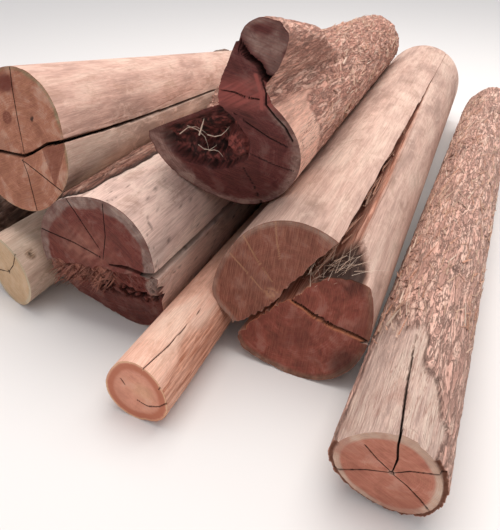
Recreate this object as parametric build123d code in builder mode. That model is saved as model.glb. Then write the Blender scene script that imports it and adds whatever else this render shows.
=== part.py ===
from build123d import *
import math
import os

import numpy as np

# A heap of felled logs, lying side by side on level ground with two more on top of them.
# Millimetres and degrees. +Y runs along the logs, away from their sawn near ends, +X to the right
# of someone who looks at those ends, +Z up. Clock angles on a section are seen from the near end:
# 0 is right, 90 up, 180 left. A heading turns a log's far end to the right, a slope lifts it.

# Room between two pieces that rest on each other
seat_gap = 0.4

# Split log: long, smooth and barkless, cleft in two for most of its length
split_near_radius = 316.0
split_far_radius = 297.0
split_length = 3300.0
split_near_y = -50.0
split_heading = -1.2
split_lobes = ((2, 0.034, 0.0), (3, 0.034, -40.0), (4, 0.014, 32.0))
split_dent = (210.0, 26.0, 0.2)
split_saw = (5.0, -14.0)
cleft_length = 2550.0
cleft_near_width = 60.0
cleft_far_width = 5.0
cleft_far_height = 445.0
cleft_pitch = 38.0
cleft_middle = (-64.0, -24.0)
lower_half_setback = 21.0
lower_crack_width = 15.0
lower_crack_length = 900.0
lower_crack_clock = -8.0
lower_crack_roots = ((0.0, -8.0), (102.0, -39.0))

# Bark log: the front right one, still in its stringy bark
bark_near_radius = 186.0
bark_far_radius = 178.0
bark_length = 3600.0
bark_near_y = -565.0
bark_heading = 0.0
bark_saw = (5.0, 4.0)
bark_lobes = ((2, 0.037, 69.0), (3, 0.041, -48.0))
bark_crack_width = 12.0
bark_crack_length = 430.0
bark_crack_clock = 84.0
bark_crack_roots = ((32.0, 11.0), (14.0, 150.0))
bare_patch_depth = 9.0
bare_patch_length = 640.0
bare_patch_near_clocks = (62.0, 152.0)
bare_patch_far_clocks = (84.0, 148.0)

# Small orange log, lying between the split log and the cracked log
orange_near_radius = 134.0
orange_far_radius = 104.0
orange_length = 2700.0
orange_near_y = -532.0
orange_heading = -1.2
orange_saw = (5.0, -0.6)
orange_lobes = ((2, 0.040, 48.0), (3, 0.045, -30.0))

# Cracked log: grey, with a broken lower end and a long side crack
cracked_near_radius = 316.0
cracked_far_radius = 288.0
cracked_length = 3400.0
cracked_near_y = -152.0
cracked_heading = -0.9
cracked_saw = (8.8, 0.0)
cracked_lobes = ((2, 0.012, 100.0), (3, 0.060, 57.0), (4, 0.020, 39.0))
hinge_top = 58.0
hinge_bottom = -45.0
hinge_depth = 22.0
felling_notch_depth = 95.0
side_cleft_width = 42.0
side_cleft_length = 1500.0
side_cleft_clock = 9.0
side_cleft_roots = ((-60.0, 20.0), (190.0, 30.0))

# Pale corner log
corner_near_radius = 170.0
corner_far_radius = 125.0
corner_length = 3400.0
corner_near_y = -155.0
corner_heading = 1.2
corner_saw = (18.0, 0.0)
corner_lobes = ((2, 0.025, 20.0), (3, 0.02, 10.0))

# Brown log behind it
brown_near_radius = 207.0
brown_far_radius = 188.0
brown_length = 3300.0
brown_near_y = -20.0
brown_heading = -3.8
brown_saw = (6.0, 3.0)
brown_lobes = ((2, 0.03, 75.0), (3, 0.02, 40.0))

# Forked log: on top of the split log and the cracked log, cut just below its fork
fork_near_radius = 298.0
fork_far_radius = 207.0
fork_length = 2730.0
fork_near_y = 164.0
fork_lobes = ((2, 0.012, 2.0), (3, 0.012, -52.0), (4, 0.016, 7.0))
fork_saw = (-4.8, 26.0)
stem_length = 1150.0
stem_middle_share = 0.8
stem_end_share = 0.35
stem_root = (100.0, 60.0)
stem_outline = (
    (30.0, 150.0), (28.0, 250.0), (110.0, 385.0), (160.0, 462.0), (222.0, 492.0), (280.0, 474.0),
    (298.0, 430.0), (252.0, 332.0), (208.0, 270.0), (225.0, 150.0),
)
seam_path = ((128.0, 425.0), (136.0, 368.0), (166.0, 344.0), (182.0, 302.0), (214.0, 290.0), (275.0, 298.0))
seam_width = 12.0
seam_depth = 330.0
rot_depth = 200.0
rot_floor_share = 0.55
rot_floor = (-100.0, 20.0)
rot_outline = (
    (-238.0, -62.0), (-245.0, 20.0), (-188.0, 56.0), (-85.0, 104.0), (15.0, 150.0), (62.0, 105.0),
    (20.0, -20.0), (-60.0, -85.0), (-165.0, -112.0),
)
broken_wall_edge = ((24.0, 185.0), (-330.0, 22.0))
broken_wall_start = -75.0
broken_wall_length = 420.0
broken_wall_rise = 190.0

# Pale top log: leans back from the cracked log and lies between the two outer logs
top_near_radius = 286.0
top_far_radius = 150.0
top_length = 3300.0
top_near_y = -10.0
top_heading = -5.4
top_saw = (12.0, -4.0)
top_lobes = ((2, 0.014, -64.0), (3, 0.026, -47.0))
top_swell = (-15.0, 30.0, -0.05)
top_crack_path = ((-330.0, -112.0), (-82.0, -90.0), (8.0, -86.0), (62.0, -56.0), (127.0, 0.0), (330.0, 46.0))
top_crack_width = 13.0
top_crack_depth = 150.0
top_step = 16.0
top_side_crack_width = 17.0
top_side_crack_length = 2300.0
top_side_crack_clock = 8.0
top_side_crack_roots = ((100.0, -20.0), (95.0, 0.0))

# Loose slab of bark on the cracked log: the clock angles of its two edges, from end to end
slab_gap = 0.8
slab_thickness = 14.0
slab_start = 20.0
slab_length = 1050.0
slab_edges = ((99.0, 123.0), (90.0, 121.0), (80.0, 119.0), (76.0, 112.0))

# Width of a crack where it dies out
crack_end_width = 3.0

# Points of a trunk's outline and of a drawn outline, and how far a raw trunk runs ahead of its saw cut
outline_points = 72
ring_points = 30
saw_overrun = 190.0


class Trunk:
    """A tapered log: a straight axis and a lobed section that shrinks evenly from end to end."""

    def __init__(
        self, near_radius, far_radius, length, near_y, heading, lobes, saw, dent=None, setback=None
    ):
        self.near_radius = near_radius
        self.far_radius = far_radius
        self.length = length
        self.lobes = lobes
        self.saw_yaw, self.saw_lean = saw
        self.dent = dent
        self.setback = setback
        self.heading = heading
        self.slope = 0.0
        self.x = 0.0
        self.y = near_y
        self.z = 0.0

    def along(self):
        turn = math.radians(self.heading)
        lift = math.radians(self.slope)
        return np.array(
            [math.sin(turn) * math.cos(lift), math.cos(turn) * math.cos(lift), math.sin(lift)]
        )

    def side(self):
        turn = math.radians(self.heading)
        return np.array([math.cos(turn), -math.sin(turn), 0.0])

    def up(self):
        return np.cross(self.side(), self.along())

    def near(self):
        return np.array([self.x, self.y, self.z])

    def radius(self, station):
        return self.near_radius + (self.far_radius - self.near_radius) * station / self.length

    def profile(self, clock):
        """How far the outline's points lie from the axis at a clock angle, as a share of the radius."""
        share = 1.0
        for count, height, peak in self.lobes:
            share = share + height * np.cos(count * (clock - math.radians(peak)))
        if self.dent:
            middle, reach, depth = self.dent
            away = np.abs((clock - math.radians(middle) + np.pi) % (2 * np.pi) - np.pi)
            fade = np.clip(away / math.radians(reach), 0.0, 1.0)
            share = share * (1.0 - depth * (0.5 + 0.5 * np.cos(np.pi * fade)))
        return share

    def shape(self, clock):
        """The same share anywhere round the trunk, on the flats from point to point of its outline."""
        pitch = 2 * math.pi / outline_points
        first = np.floor(clock / pitch) * pitch
        here = self.profile(first)
        there = self.profile(first + pitch)
        turn = clock - first
        return here * there * math.sin(pitch) / (here * np.sin(turn) + there * np.sin(pitch - turn))

    def saw_normal(self):
        normal = self.saw_plane().z_dir
        return np.array([normal.X, normal.Y, normal.Z])

    def saw_depth(self, clock):
        """How far behind the saw cut the wood starts at a clock angle, where part of the end is gone."""
        if not self.setback:
            return 0.0 * clock
        first, last, depth = self.setback
        turn = (np.degrees(clock) - first) % 360.0
        return np.where(turn < last - first, depth, 0.0)

    def skin(self, first_share=0.0, last_share=1.0):
        """Points of the skin on a stretch of the trunk, down to the rim of its near saw cut."""
        clocks = np.linspace(0.0, 2 * math.pi, 4 * outline_points, endpoint=False)[None, :]
        shape = self.shape(clocks)
        out = np.cos(clocks)[..., None] * self.side() + np.sin(clocks)[..., None] * self.up()
        normal = self.saw_normal()
        tilt = shape * (out @ normal)
        taper = (self.far_radius - self.near_radius) / self.length
        ahead = self.along() @ normal
        rim = (self.saw_depth(clocks) * ahead - self.near_radius * tilt) / (ahead + taper * tilt)
        first = np.maximum(rim, (first_share * self.length if first_share else -np.inf))
        shares = np.linspace(0.0, 1.0, 61)[:, None]
        stations = first * (1.0 - shares) + last_share * self.length * shares
        reach = self.radius(stations) * shape
        return (self.near() + stations[..., None] * self.along() + reach[..., None] * out).reshape(-1, 3)

    def clearance(self, points):
        """How far each point stands off this trunk's skin, for the points beside it."""
        offset = points - self.near()
        station = offset @ self.along()
        across = offset @ self.side()
        rise = offset @ self.up()
        clock = np.arctan2(rise, across)
        gap = np.hypot(across, rise) - self.radius(station) * self.shape(clock)
        front = self.saw_depth(clock) * (self.along() @ self.saw_normal())
        beside = (offset @ self.saw_normal() < front + 0.1) & (station < self.length + 0.1)
        return np.where(beside, gap, np.inf)

    def lie_on_floor(self):
        """Set the slope and height at which the whole length touches the floor."""
        clocks = np.linspace(math.pi, 2 * math.pi, 2 * outline_points + 1)
        lowest = np.max(-self.shape(clocks) * np.sin(clocks))
        taper = (self.far_radius - self.near_radius) / self.length
        self.slope = math.degrees(math.atan(lowest * taper))
        self.z = self.near_radius * lowest * math.cos(math.radians(self.slope))

    def plane(self, station, yaw=0.0, lean=0.0):
        """The plane of a section, facing the near end. A yaw brings its right side nearer, a lean its top."""
        turned = math.tan(math.radians(yaw)) * self.side()
        leaned = math.tan(math.radians(lean)) * self.up()
        facing = -(self.along() + turned + leaned)
        return Plane(
            origin=tuple(self.near() + station * self.along()),
            x_dir=tuple(np.cross(self.up(), facing)),
            z_dir=tuple(facing),
        )

    def lengthwise_plane(self):
        """The upright plane through the axis, with x along the trunk."""
        return Plane(origin=tuple(self.near()), x_dir=tuple(self.along()), z_dir=tuple(self.side()))

    def saw_plane(self):
        """The near saw cut."""
        return self.plane(0.0, self.saw_yaw, self.saw_lean)

    def point(self, station, clock, grow=0.0):
        """A point of the skin in the plane of its section, or one that much further out."""
        reach = self.radius(station) * float(self.shape(clock)) + grow
        return (reach * math.cos(clock), reach * math.sin(clock))

    def outline(self, station):
        """Points all round a section, in its plane."""
        clocks = [2 * math.pi * index / outline_points for index in range(outline_points)]
        return [self.point(station, clock) for clock in clocks]


def settle(trunk, seats, freedoms):
    """Move a trunk in its freedoms until it lies the seat gap away from each support.

    A seat is (supports, first share, last share): the stretch of the trunk that rests there.
    """
    def misfits():
        rows = []
        for supports, first_share, last_share in seats:
            points = trunk.skin(first_share, last_share)
            gap = min(support.clearance(points).min() for support in supports)
            if (first_share, last_share) == (0.0, 1.0):
                gap = min(gap, min(trunk.clearance(support.skin()).min() for support in supports))
            rows.append(gap - seat_gap)
        return np.array(rows)

    steps = {"x": 0.5, "z": 0.5, "heading": 0.02, "slope": 0.02}
    for _ in range(12):
        start = misfits()
        if np.abs(start).max() < 0.01:
            return
        columns = []
        for freedom in freedoms:
            value = getattr(trunk, freedom)
            setattr(trunk, freedom, value + steps[freedom])
            columns.append((misfits() - start) / steps[freedom])
            setattr(trunk, freedom, value)
        moves = np.linalg.solve(np.array(columns).T, -start)
        for freedom, move in zip(freedoms, moves):
            setattr(trunk, freedom, getattr(trunk, freedom) + float(move))
    raise ValueError("a log found no seat")


def ring(outline, share, middle):
    """Points close together on the smooth closed curve through an outline, drawn smaller about a point."""
    with BuildLine() as curve:
        Spline(*outline, periodic=True)
    fine = [curve.edges()[0].position_at(step / ring_points) for step in range(ring_points)]
    return [
        (middle[0] + share * (spot.X - middle[0]), middle[1] + share * (spot.Y - middle[1]))
        for spot in fine
    ]


def section(trunk, station):
    """The face of one cross-section of a trunk."""
    with BuildSketch(trunk.plane(station)) as slice_:
        with BuildLine():
            Polyline(*trunk.outline(station), close=True)
        make_face()
    return slice_.sketch.faces()[0]


def raw_trunk(trunk):
    """The two end sections of a trunk, the near one ahead of its saw cut."""
    return [section(trunk, -saw_overrun), section(trunk, trunk.length)]


def band(trunk, station, edges, inner, outer):
    """A curved band of a section, between two clock angles and two distances from the skin."""
    clocks = np.radians(np.linspace(*edges, 9))
    low = [trunk.point(station, clock, inner) for clock in clocks]
    high = [trunk.point(station, clock, outer) for clock in clocks]
    with BuildSketch(trunk.plane(station)) as slice_:
        with BuildLine():
            Polyline(*low)
            Polyline(*high)
            Line(low[0], high[0])
            Line(low[-1], high[-1])
        make_face()
    return slice_.sketch.faces()[0]


def blade(trunk, station, tip, clock, width):
    """A crack's thin triangle in a section: from its tip to a mouth outside the skin at a clock angle."""
    turn = math.radians(clock)
    reach = 1.2 * trunk.near_radius
    mouth = Vector(reach * math.cos(turn), reach * math.sin(turn))
    half = (mouth - Vector(*tip)).normalized().rotate(Axis.Z, 90) * (width / 2)
    with BuildSketch(trunk.plane(station)) as slice_:
        with BuildLine():
            Polyline(tip, mouth - half, mouth + half, close=True)
        make_face()
    return slice_.sketch.faces()[0]


def crack(trunk, start, length, roots, clock, width):
    """The two end sections of a crack that runs in from the skin and narrows along the trunk."""
    return [
        blade(trunk, start, roots[0], clock, width),
        blade(trunk, length, roots[1], clock, crack_end_width),
    ]


# Where each log lies: the floor logs side by side, then the two that rest on them
split_trunk = Trunk(
    split_near_radius, split_far_radius, split_length, split_near_y, split_heading, split_lobes, split_saw,
    split_dent, (180.0 + cleft_pitch, 360.0 + cleft_pitch, lower_half_setback),
)
split_trunk.lie_on_floor()

bark_trunk = Trunk(
    bark_near_radius, bark_far_radius, bark_length, bark_near_y, bark_heading, bark_lobes, bark_saw
)
bark_trunk.lie_on_floor()
bark_trunk.x = split_near_radius + bark_near_radius
settle(bark_trunk, [([split_trunk], 0.0, 1.0)], ["x"])

orange_trunk = Trunk(
    orange_near_radius, orange_far_radius, orange_length, orange_near_y, orange_heading, orange_lobes,
    orange_saw,
)
orange_trunk.lie_on_floor()
orange_trunk.x = -split_near_radius - orange_near_radius
settle(orange_trunk, [([split_trunk], 0.0, 1.0)], ["x"])

cracked_trunk = Trunk(
    cracked_near_radius, cracked_far_radius, cracked_length, cracked_near_y, cracked_heading,
    cracked_lobes, cracked_saw, setback=(180.0, 360.0, felling_notch_depth),
)
cracked_trunk.lie_on_floor()
cracked_trunk.x = orange_trunk.x - orange_near_radius - cracked_near_radius
settle(cracked_trunk, [([orange_trunk, split_trunk], 0.0, 1.0)], ["x"])

corner_trunk = Trunk(
    corner_near_radius, corner_far_radius, corner_length, corner_near_y, corner_heading, corner_lobes,
    corner_saw,
)
corner_trunk.lie_on_floor()
corner_trunk.x = cracked_trunk.x - cracked_near_radius - corner_near_radius
settle(corner_trunk, [([cracked_trunk], 0.0, 1.0)], ["x"])

brown_trunk = Trunk(
    brown_near_radius, brown_far_radius, brown_length, brown_near_y, brown_heading, brown_lobes, brown_saw
)
brown_trunk.lie_on_floor()
brown_trunk.x = corner_trunk.x - corner_near_radius - brown_near_radius
settle(brown_trunk, [([corner_trunk], 0.0, 1.0)], ["x"])

fork_trunk = Trunk(
    fork_near_radius, fork_far_radius, fork_length, fork_near_y, split_heading, fork_lobes, fork_saw
)
fork_trunk.x = (split_trunk.x + cracked_trunk.x) / 2
fork_trunk.z = split_near_radius + cracked_near_radius + fork_near_radius
fork_trunk.slope = -4.0
settle(
    fork_trunk,
    [
        ([split_trunk], 0.0, 0.4),
        ([split_trunk], 0.6, 1.0),
        ([cracked_trunk], 0.0, 0.4),
        ([cracked_trunk], 0.6, 1.0),
    ],
    ["x", "z", "heading", "slope"],
)

top_trunk = Trunk(
    top_near_radius, top_far_radius, top_length, top_near_y, top_heading, top_lobes, top_saw, top_swell
)
top_trunk.slope = -8.5
top_trunk.x = (cracked_trunk.x + brown_trunk.x) / 2
top_trunk.z = cracked_near_radius + corner_near_radius + top_near_radius
settle(
    top_trunk,
    [([cracked_trunk], 0.0, 1.0), ([corner_trunk], 0.0, 1.0), ([brown_trunk], 0.0, 1.0)],
    ["x", "z", "slope"],
)


# Split log: a tapering cleft right through its near part, and a lower half that starts further back
cleft_line = Location((*cleft_middle, 0.0), (0.0, 0.0, cleft_pitch))

with BuildPart() as split_log:
    loft(raw_trunk(split_trunk), ruled=True)
    split(bisect_by=split_trunk.saw_plane(), keep=Keep.BOTTOM)
    for station, width, height in (
        (-saw_overrun, cleft_near_width, 2.6 * split_near_radius),
        (cleft_length, cleft_far_width, cleft_far_height),
    ):
        with BuildSketch(split_trunk.plane(station)):
            with Locations(cleft_line):
                Rectangle(height, width)
    loft(mode=Mode.SUBTRACT)
    with BuildSketch(split_trunk.saw_plane()):
        with Locations(cleft_line):
            Rectangle(3 * split_near_radius, 2 * split_near_radius, align=(Align.CENTER, Align.MAX))
    extrude(amount=lower_half_setback, dir=tuple(split_trunk.along()), mode=Mode.SUBTRACT)
    loft(
        crack(
            split_trunk, -saw_overrun, lower_crack_length, lower_crack_roots, lower_crack_clock,
            lower_crack_width,
        ),
        mode=Mode.SUBTRACT,
    )

# Bark log: the bark is off its top near the saw cut, where a crack runs in from the rim
with BuildPart() as bark_log:
    loft(raw_trunk(bark_trunk), ruled=True)
    split(bisect_by=bark_trunk.saw_plane(), keep=Keep.BOTTOM)
    loft(
        [
            band(bark_trunk, -saw_overrun, bare_patch_near_clocks, -bare_patch_depth, 40.0),
            band(bark_trunk, bare_patch_length, bare_patch_far_clocks, -bare_patch_depth / 2, 40.0),
        ],
        mode=Mode.SUBTRACT,
    )
    loft(
        crack(
            bark_trunk, -saw_overrun, bark_crack_length, bark_crack_roots, bark_crack_clock,
            bark_crack_width,
        ),
        mode=Mode.SUBTRACT,
    )

with BuildPart() as small_orange_log:
    loft(raw_trunk(orange_trunk), ruled=True)
    split(bisect_by=orange_trunk.saw_plane(), keep=Keep.BOTTOM)

# Cracked log: the saw cut ends at the torn hinge, the felling notch slopes back below it
with BuildPart() as cracked_log:
    loft(raw_trunk(cracked_trunk), ruled=True)
    split(bisect_by=cracked_trunk.saw_plane(), keep=Keep.BOTTOM)
    loft(
        crack(
            cracked_trunk, -saw_overrun, side_cleft_length, side_cleft_roots, side_cleft_clock,
            side_cleft_width,
        ),
        mode=Mode.SUBTRACT,
    )
    with BuildSketch(cracked_trunk.lengthwise_plane()):
        with BuildLine():
            Polyline(
                (-2 * saw_overrun, hinge_top),
                (0.0, hinge_top),
                (hinge_depth, (hinge_top + hinge_bottom) / 2),
                (hinge_depth / 3, hinge_bottom),
                (felling_notch_depth, -cracked_near_radius),
                (felling_notch_depth, -2 * cracked_near_radius),
                (-2 * saw_overrun, -2 * cracked_near_radius),
                close=True,
            )
        make_face()
    extrude(amount=1.5 * cracked_near_radius, both=True, mode=Mode.SUBTRACT)

with BuildPart() as loose_bark_slab:
    shares = np.linspace(0.0, 1.0, 13)
    edge_shares = np.linspace(0.0, 1.0, len(slab_edges))
    low_edges, high_edges = (np.interp(shares, edge_shares, clocks) for clocks in zip(*slab_edges))
    loft(
        [
            band(cracked_trunk, slab_start + share * slab_length, edges, slab_gap, slab_thickness)
            for share, *edges in zip(shares, low_edges, high_edges)
        ],
        ruled=True,
    )

with BuildPart() as pale_corner_log:
    loft(raw_trunk(corner_trunk), ruled=True)
    split(bisect_by=corner_trunk.saw_plane(), keep=Keep.BOTTOM)

with BuildPart() as brown_back_log:
    loft(raw_trunk(brown_trunk), ruled=True)
    split(bisect_by=brown_trunk.saw_plane(), keep=Keep.BOTTOM)

# Forked log: the cut crosses trunk and side stem below the fork. Rot has hollowed the trunk's end, and
# the wall between the hollow and the stem has broken away.
with BuildPart() as forked_log:
    loft(raw_trunk(fork_trunk), ruled=True)
    for station, share in (
        (-saw_overrun, 1.0),
        (stem_length / 2, stem_middle_share),
        (stem_length, stem_end_share),
    ):
        with BuildSketch(fork_trunk.plane(station)):
            with BuildLine():
                Polyline(*ring(stem_outline, share, stem_root), close=True)
            make_face()
    loft(ruled=True)
    split(bisect_by=fork_trunk.saw_plane(), keep=Keep.BOTTOM)
    for station, share in ((-saw_overrun, 1.0), (rot_depth, rot_floor_share)):
        with BuildSketch(fork_trunk.plane(station)):
            with BuildLine():
                Polyline(*ring(rot_outline, share, rot_floor), close=True)
            make_face()
    loft(ruled=True, mode=Mode.SUBTRACT)
    for station in (-saw_overrun, broken_wall_length):
        lift = broken_wall_rise * (station - broken_wall_start) / (broken_wall_length - broken_wall_start)
        with BuildSketch(fork_trunk.plane(station)):
            with BuildLine():
                Polyline(
                    *((across, rise + lift) for across, rise in broken_wall_edge),
                    (broken_wall_edge[1][0], 3 * fork_near_radius),
                    (broken_wall_edge[0][0], 3 * fork_near_radius),
                    close=True,
                )
            make_face()
    loft(ruled=True, mode=Mode.SUBTRACT)
    with BuildSketch(fork_trunk.plane(-saw_overrun)):
        with BuildLine():
            Spline(*seam_path)
        trace(line_width=seam_width)
    extrude(amount=-(saw_overrun + seam_depth), mode=Mode.SUBTRACT)

# Pale top log: a crack right across its end, through the pith, and on along its right side. The
# wood above the crack has sprung back a little.
with BuildPart() as pale_top_log:
    loft(raw_trunk(top_trunk), ruled=True)
    split(bisect_by=top_trunk.saw_plane(), keep=Keep.BOTTOM)
    with BuildSketch(top_trunk.plane(-saw_overrun)):
        with BuildLine():
            Polyline(*top_crack_path)
        trace(line_width=top_crack_width)
    extrude(amount=-(saw_overrun + top_crack_depth), mode=Mode.SUBTRACT)
    with BuildSketch(top_trunk.saw_plane()):
        with BuildLine():
            Polyline(
                *top_crack_path,
                (top_crack_path[-1][0], 1.5 * top_near_radius),
                (top_crack_path[0][0], 1.5 * top_near_radius),
                close=True,
            )
        make_face()
    extrude(amount=-top_step, mode=Mode.SUBTRACT)
    loft(
        crack(
            top_trunk, 0.0, top_side_crack_length, top_side_crack_roots, top_side_crack_clock,
            top_side_crack_width,
        ),
        mode=Mode.SUBTRACT,
    )

pieces = {
    "split_log": split_log,
    "bark_log": bark_log,
    "small_orange_log": small_orange_log,
    "cracked_log": cracked_log,
    "loose_bark_slab": loose_bark_slab,
    "pale_corner_log": pale_corner_log,
    "brown_back_log": brown_back_log,
    "forked_log": forked_log,
    "pale_top_log": pale_top_log,
}

# The origin is under the middle of the heap
heap_box = split_log.part.bounding_box()
for piece in pieces.values():
    heap_box = heap_box.add(piece.part.bounding_box())
to_origin = Location((-heap_box.center().X, -heap_box.center().Y, -heap_box.min.Z))

os.makedirs("parts", exist_ok=True)
for name, piece in pieces.items():
    piece.part.move(to_origin)
    piece.part.label = name
    export_step(piece.part, f"parts/{name}.step")
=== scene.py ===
"""A heap of felled logs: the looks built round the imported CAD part.

Nine pieces lie in the heap. Each log is one mesh made from its own trunk: a straight taper with a lobed
section, a near end cut by the saw, and the relief of its wood or bark. Lengths in the tables are in
millimetres and angles in degrees. A clock angle on a section is seen from the near end: 0 is right,
90 up, 180 left. u runs to the right of a section, v up and s along the log.
"""

import math
from functools import partial
from typing import NamedTuple

import bpy
import numpy as np
from bpy.props import FloatProperty, FloatVectorProperty, IntProperty, PointerProperty
from mathutils import Euler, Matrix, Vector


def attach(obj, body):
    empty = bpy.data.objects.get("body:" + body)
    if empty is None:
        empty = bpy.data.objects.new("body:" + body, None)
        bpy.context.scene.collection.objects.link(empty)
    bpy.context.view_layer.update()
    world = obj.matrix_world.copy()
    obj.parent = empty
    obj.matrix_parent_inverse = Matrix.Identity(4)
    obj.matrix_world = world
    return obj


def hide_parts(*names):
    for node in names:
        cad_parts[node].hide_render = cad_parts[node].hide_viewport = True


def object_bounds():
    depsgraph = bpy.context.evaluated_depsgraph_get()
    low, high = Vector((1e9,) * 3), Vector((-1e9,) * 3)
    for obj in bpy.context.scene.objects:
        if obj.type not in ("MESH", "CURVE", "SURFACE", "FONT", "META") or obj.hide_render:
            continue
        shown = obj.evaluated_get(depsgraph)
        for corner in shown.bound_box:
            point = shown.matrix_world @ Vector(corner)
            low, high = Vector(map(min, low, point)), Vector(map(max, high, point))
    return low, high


bl_info = {
    "name": "Heap of logs",
    "version": (1, 0, 0),
    "blender": (4, 5, 0),
    "location": "View3D > Sidebar > Logs",
    "description": "Builds the logs of the heap, their bark, cracks and splinters, and the stage",
    "category": "Add Mesh",
}

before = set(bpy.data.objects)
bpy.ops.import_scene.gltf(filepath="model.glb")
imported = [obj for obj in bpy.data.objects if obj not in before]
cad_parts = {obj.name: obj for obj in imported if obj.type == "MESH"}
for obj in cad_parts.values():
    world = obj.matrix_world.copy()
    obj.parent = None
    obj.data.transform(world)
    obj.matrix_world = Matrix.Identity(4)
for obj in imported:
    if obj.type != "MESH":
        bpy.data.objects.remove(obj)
cad_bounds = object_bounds()

# From the place of the trunks in the heap to the frame, whose origin is under its middle
HEAP_SHIFT = np.array([691.95, -1349.43, 0.0])


def linear(colour):
    """A colour written as sRGB hex, as the linear one that a shader works with."""
    parts = [int(colour[place:place + 2], 16) / 255.0 for place in (1, 3, 5)]
    return tuple(part / 12.92 if part <= 0.04045 else ((part + 0.055) / 1.055) ** 2.4 for part in parts)


CREAM = np.array(linear("#efdcc8"))
DEEP = np.array(linear("#2b130d"))


def shades_of(colour, *shares):
    """A colour, or its hex, taken some way to cream for a share above 0, to deep brown for one below."""
    middle = np.array(linear(colour) if isinstance(colour, str) else colour[:3])
    return [tuple(middle + abs(share) * ((CREAM if share > 0 else DEEP) - middle)) for share in shares]


# Random relief


def hills(seed, x, y, around=0):
    """Smooth random heights from 0 to 1, one hill to a cell. x repeats after around cells."""
    wide = around or 251
    table = np.random.default_rng(seed).random((wide, 251))
    left = np.floor(x).astype(int)
    low = np.floor(y).astype(int)
    ease_x = (x - left) ** 2 * (3.0 - 2.0 * (x - left))
    ease_y = (y - low) ** 2 * (3.0 - 2.0 * (y - low))
    right = (left + 1) % wide
    left = left % wide
    high = (low + 1) % 251
    low = low % 251
    bottom = table[left, low] * (1.0 - ease_x) + table[right, low] * ease_x
    top = table[left, high] * (1.0 - ease_x) + table[right, high] * ease_x
    return bottom * (1.0 - ease_y) + top * ease_y


def rough(seed, x, y, octaves=3, around=0):
    """Hills with smaller hills on them, from 0 to 1."""
    total = 0.0
    weight = 0.0
    for octave in range(octaves):
        scale = 2 ** octave
        total = total + hills(seed + octave, x * scale, y * scale, around * scale) / scale
        weight += 1.0 / scale
    return total / weight


def grains(seed, u, v, size, octaves=3, start=60.0):
    """Random heights over a sawn end in grains of a size, read from a starting place in their table."""
    return rough(seed, u / size + start, v / size + start, octaves)


def ridge(height):
    """1 along the middle height of some hills, falling to 0 at their tops and feet."""
    return 1.0 - np.abs(2.0 * height - 1.0)


def ease(low, high, value):
    """0 below low, 1 above high and smooth between."""
    share = np.clip((value - low) / (high - low), 0.0, 1.0)
    return share * share * (3.0 - 2.0 * share)


def turn_from(clock, middle):
    """How far a clock angle in radians is from a middle one in degrees, in degrees, signed."""
    return (np.degrees(clock) - middle + 180.0) % 360.0 - 180.0


def off_path(u, v, path):
    """Distance of points from a bent line, how far along it they are, from 0 to 1, and their side."""
    points = np.array(path, dtype=float)
    steps = np.hypot(*np.diff(points, axis=0).T)
    reached = np.concatenate([[0.0], np.cumsum(steps)]) / steps.sum()
    best = np.full(np.shape(u), np.inf)
    along = np.zeros(np.shape(u))
    side = np.zeros(np.shape(u))
    for index, (start, end) in enumerate(zip(points[:-1], points[1:])):
        run, lift = end - start
        share = np.clip(((u - start[0]) * run + (v - start[1]) * lift) / (run ** 2 + lift ** 2), 0.0, 1.0)
        gap = np.hypot(u - start[0] - share * run, v - start[1] - share * lift)
        nearer = gap < best
        best = np.where(nearer, gap, best)
        along = np.where(nearer, reached[index] + share * (reached[index + 1] - reached[index]), along)
        side = np.where(nearer, np.sign(run * (v - start[1]) - lift * (u - start[0])), side)
    return best, along, side


def rounded(outline, steps):
    """A closed outline with its corners rounded: a smooth curve through the same points."""
    points = np.array(outline, dtype=float)
    before = np.roll(points, 1, axis=0)
    after = np.roll(points, -1, axis=0)
    beyond = np.roll(points, -2, axis=0)
    curve = []
    for share in np.arange(steps) / steps:
        curve.append(
            0.5 * (
                2.0 * points + (after - before) * share
                + (2.0 * before - 5.0 * points + 4.0 * after - beyond) * share ** 2
                + (3.0 * points - before - 3.0 * after + beyond) * share ** 3
            )
        )
    return np.stack(curve, axis=1).reshape(-1, 2)


def inside(u, v, outline):
    """Whether points lie within a closed outline."""
    held = np.zeros(np.shape(u), dtype=bool)
    for (u0, v0), (u1, v1) in zip(outline, (*outline[1:], outline[0])):
        if v0 == v1:
            continue
        across = u < u0 + (v - v0) * (u1 - u0) / (v1 - v0)
        held ^= ((v0 > v) != (v1 > v)) & across
    return held


# Logs


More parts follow.
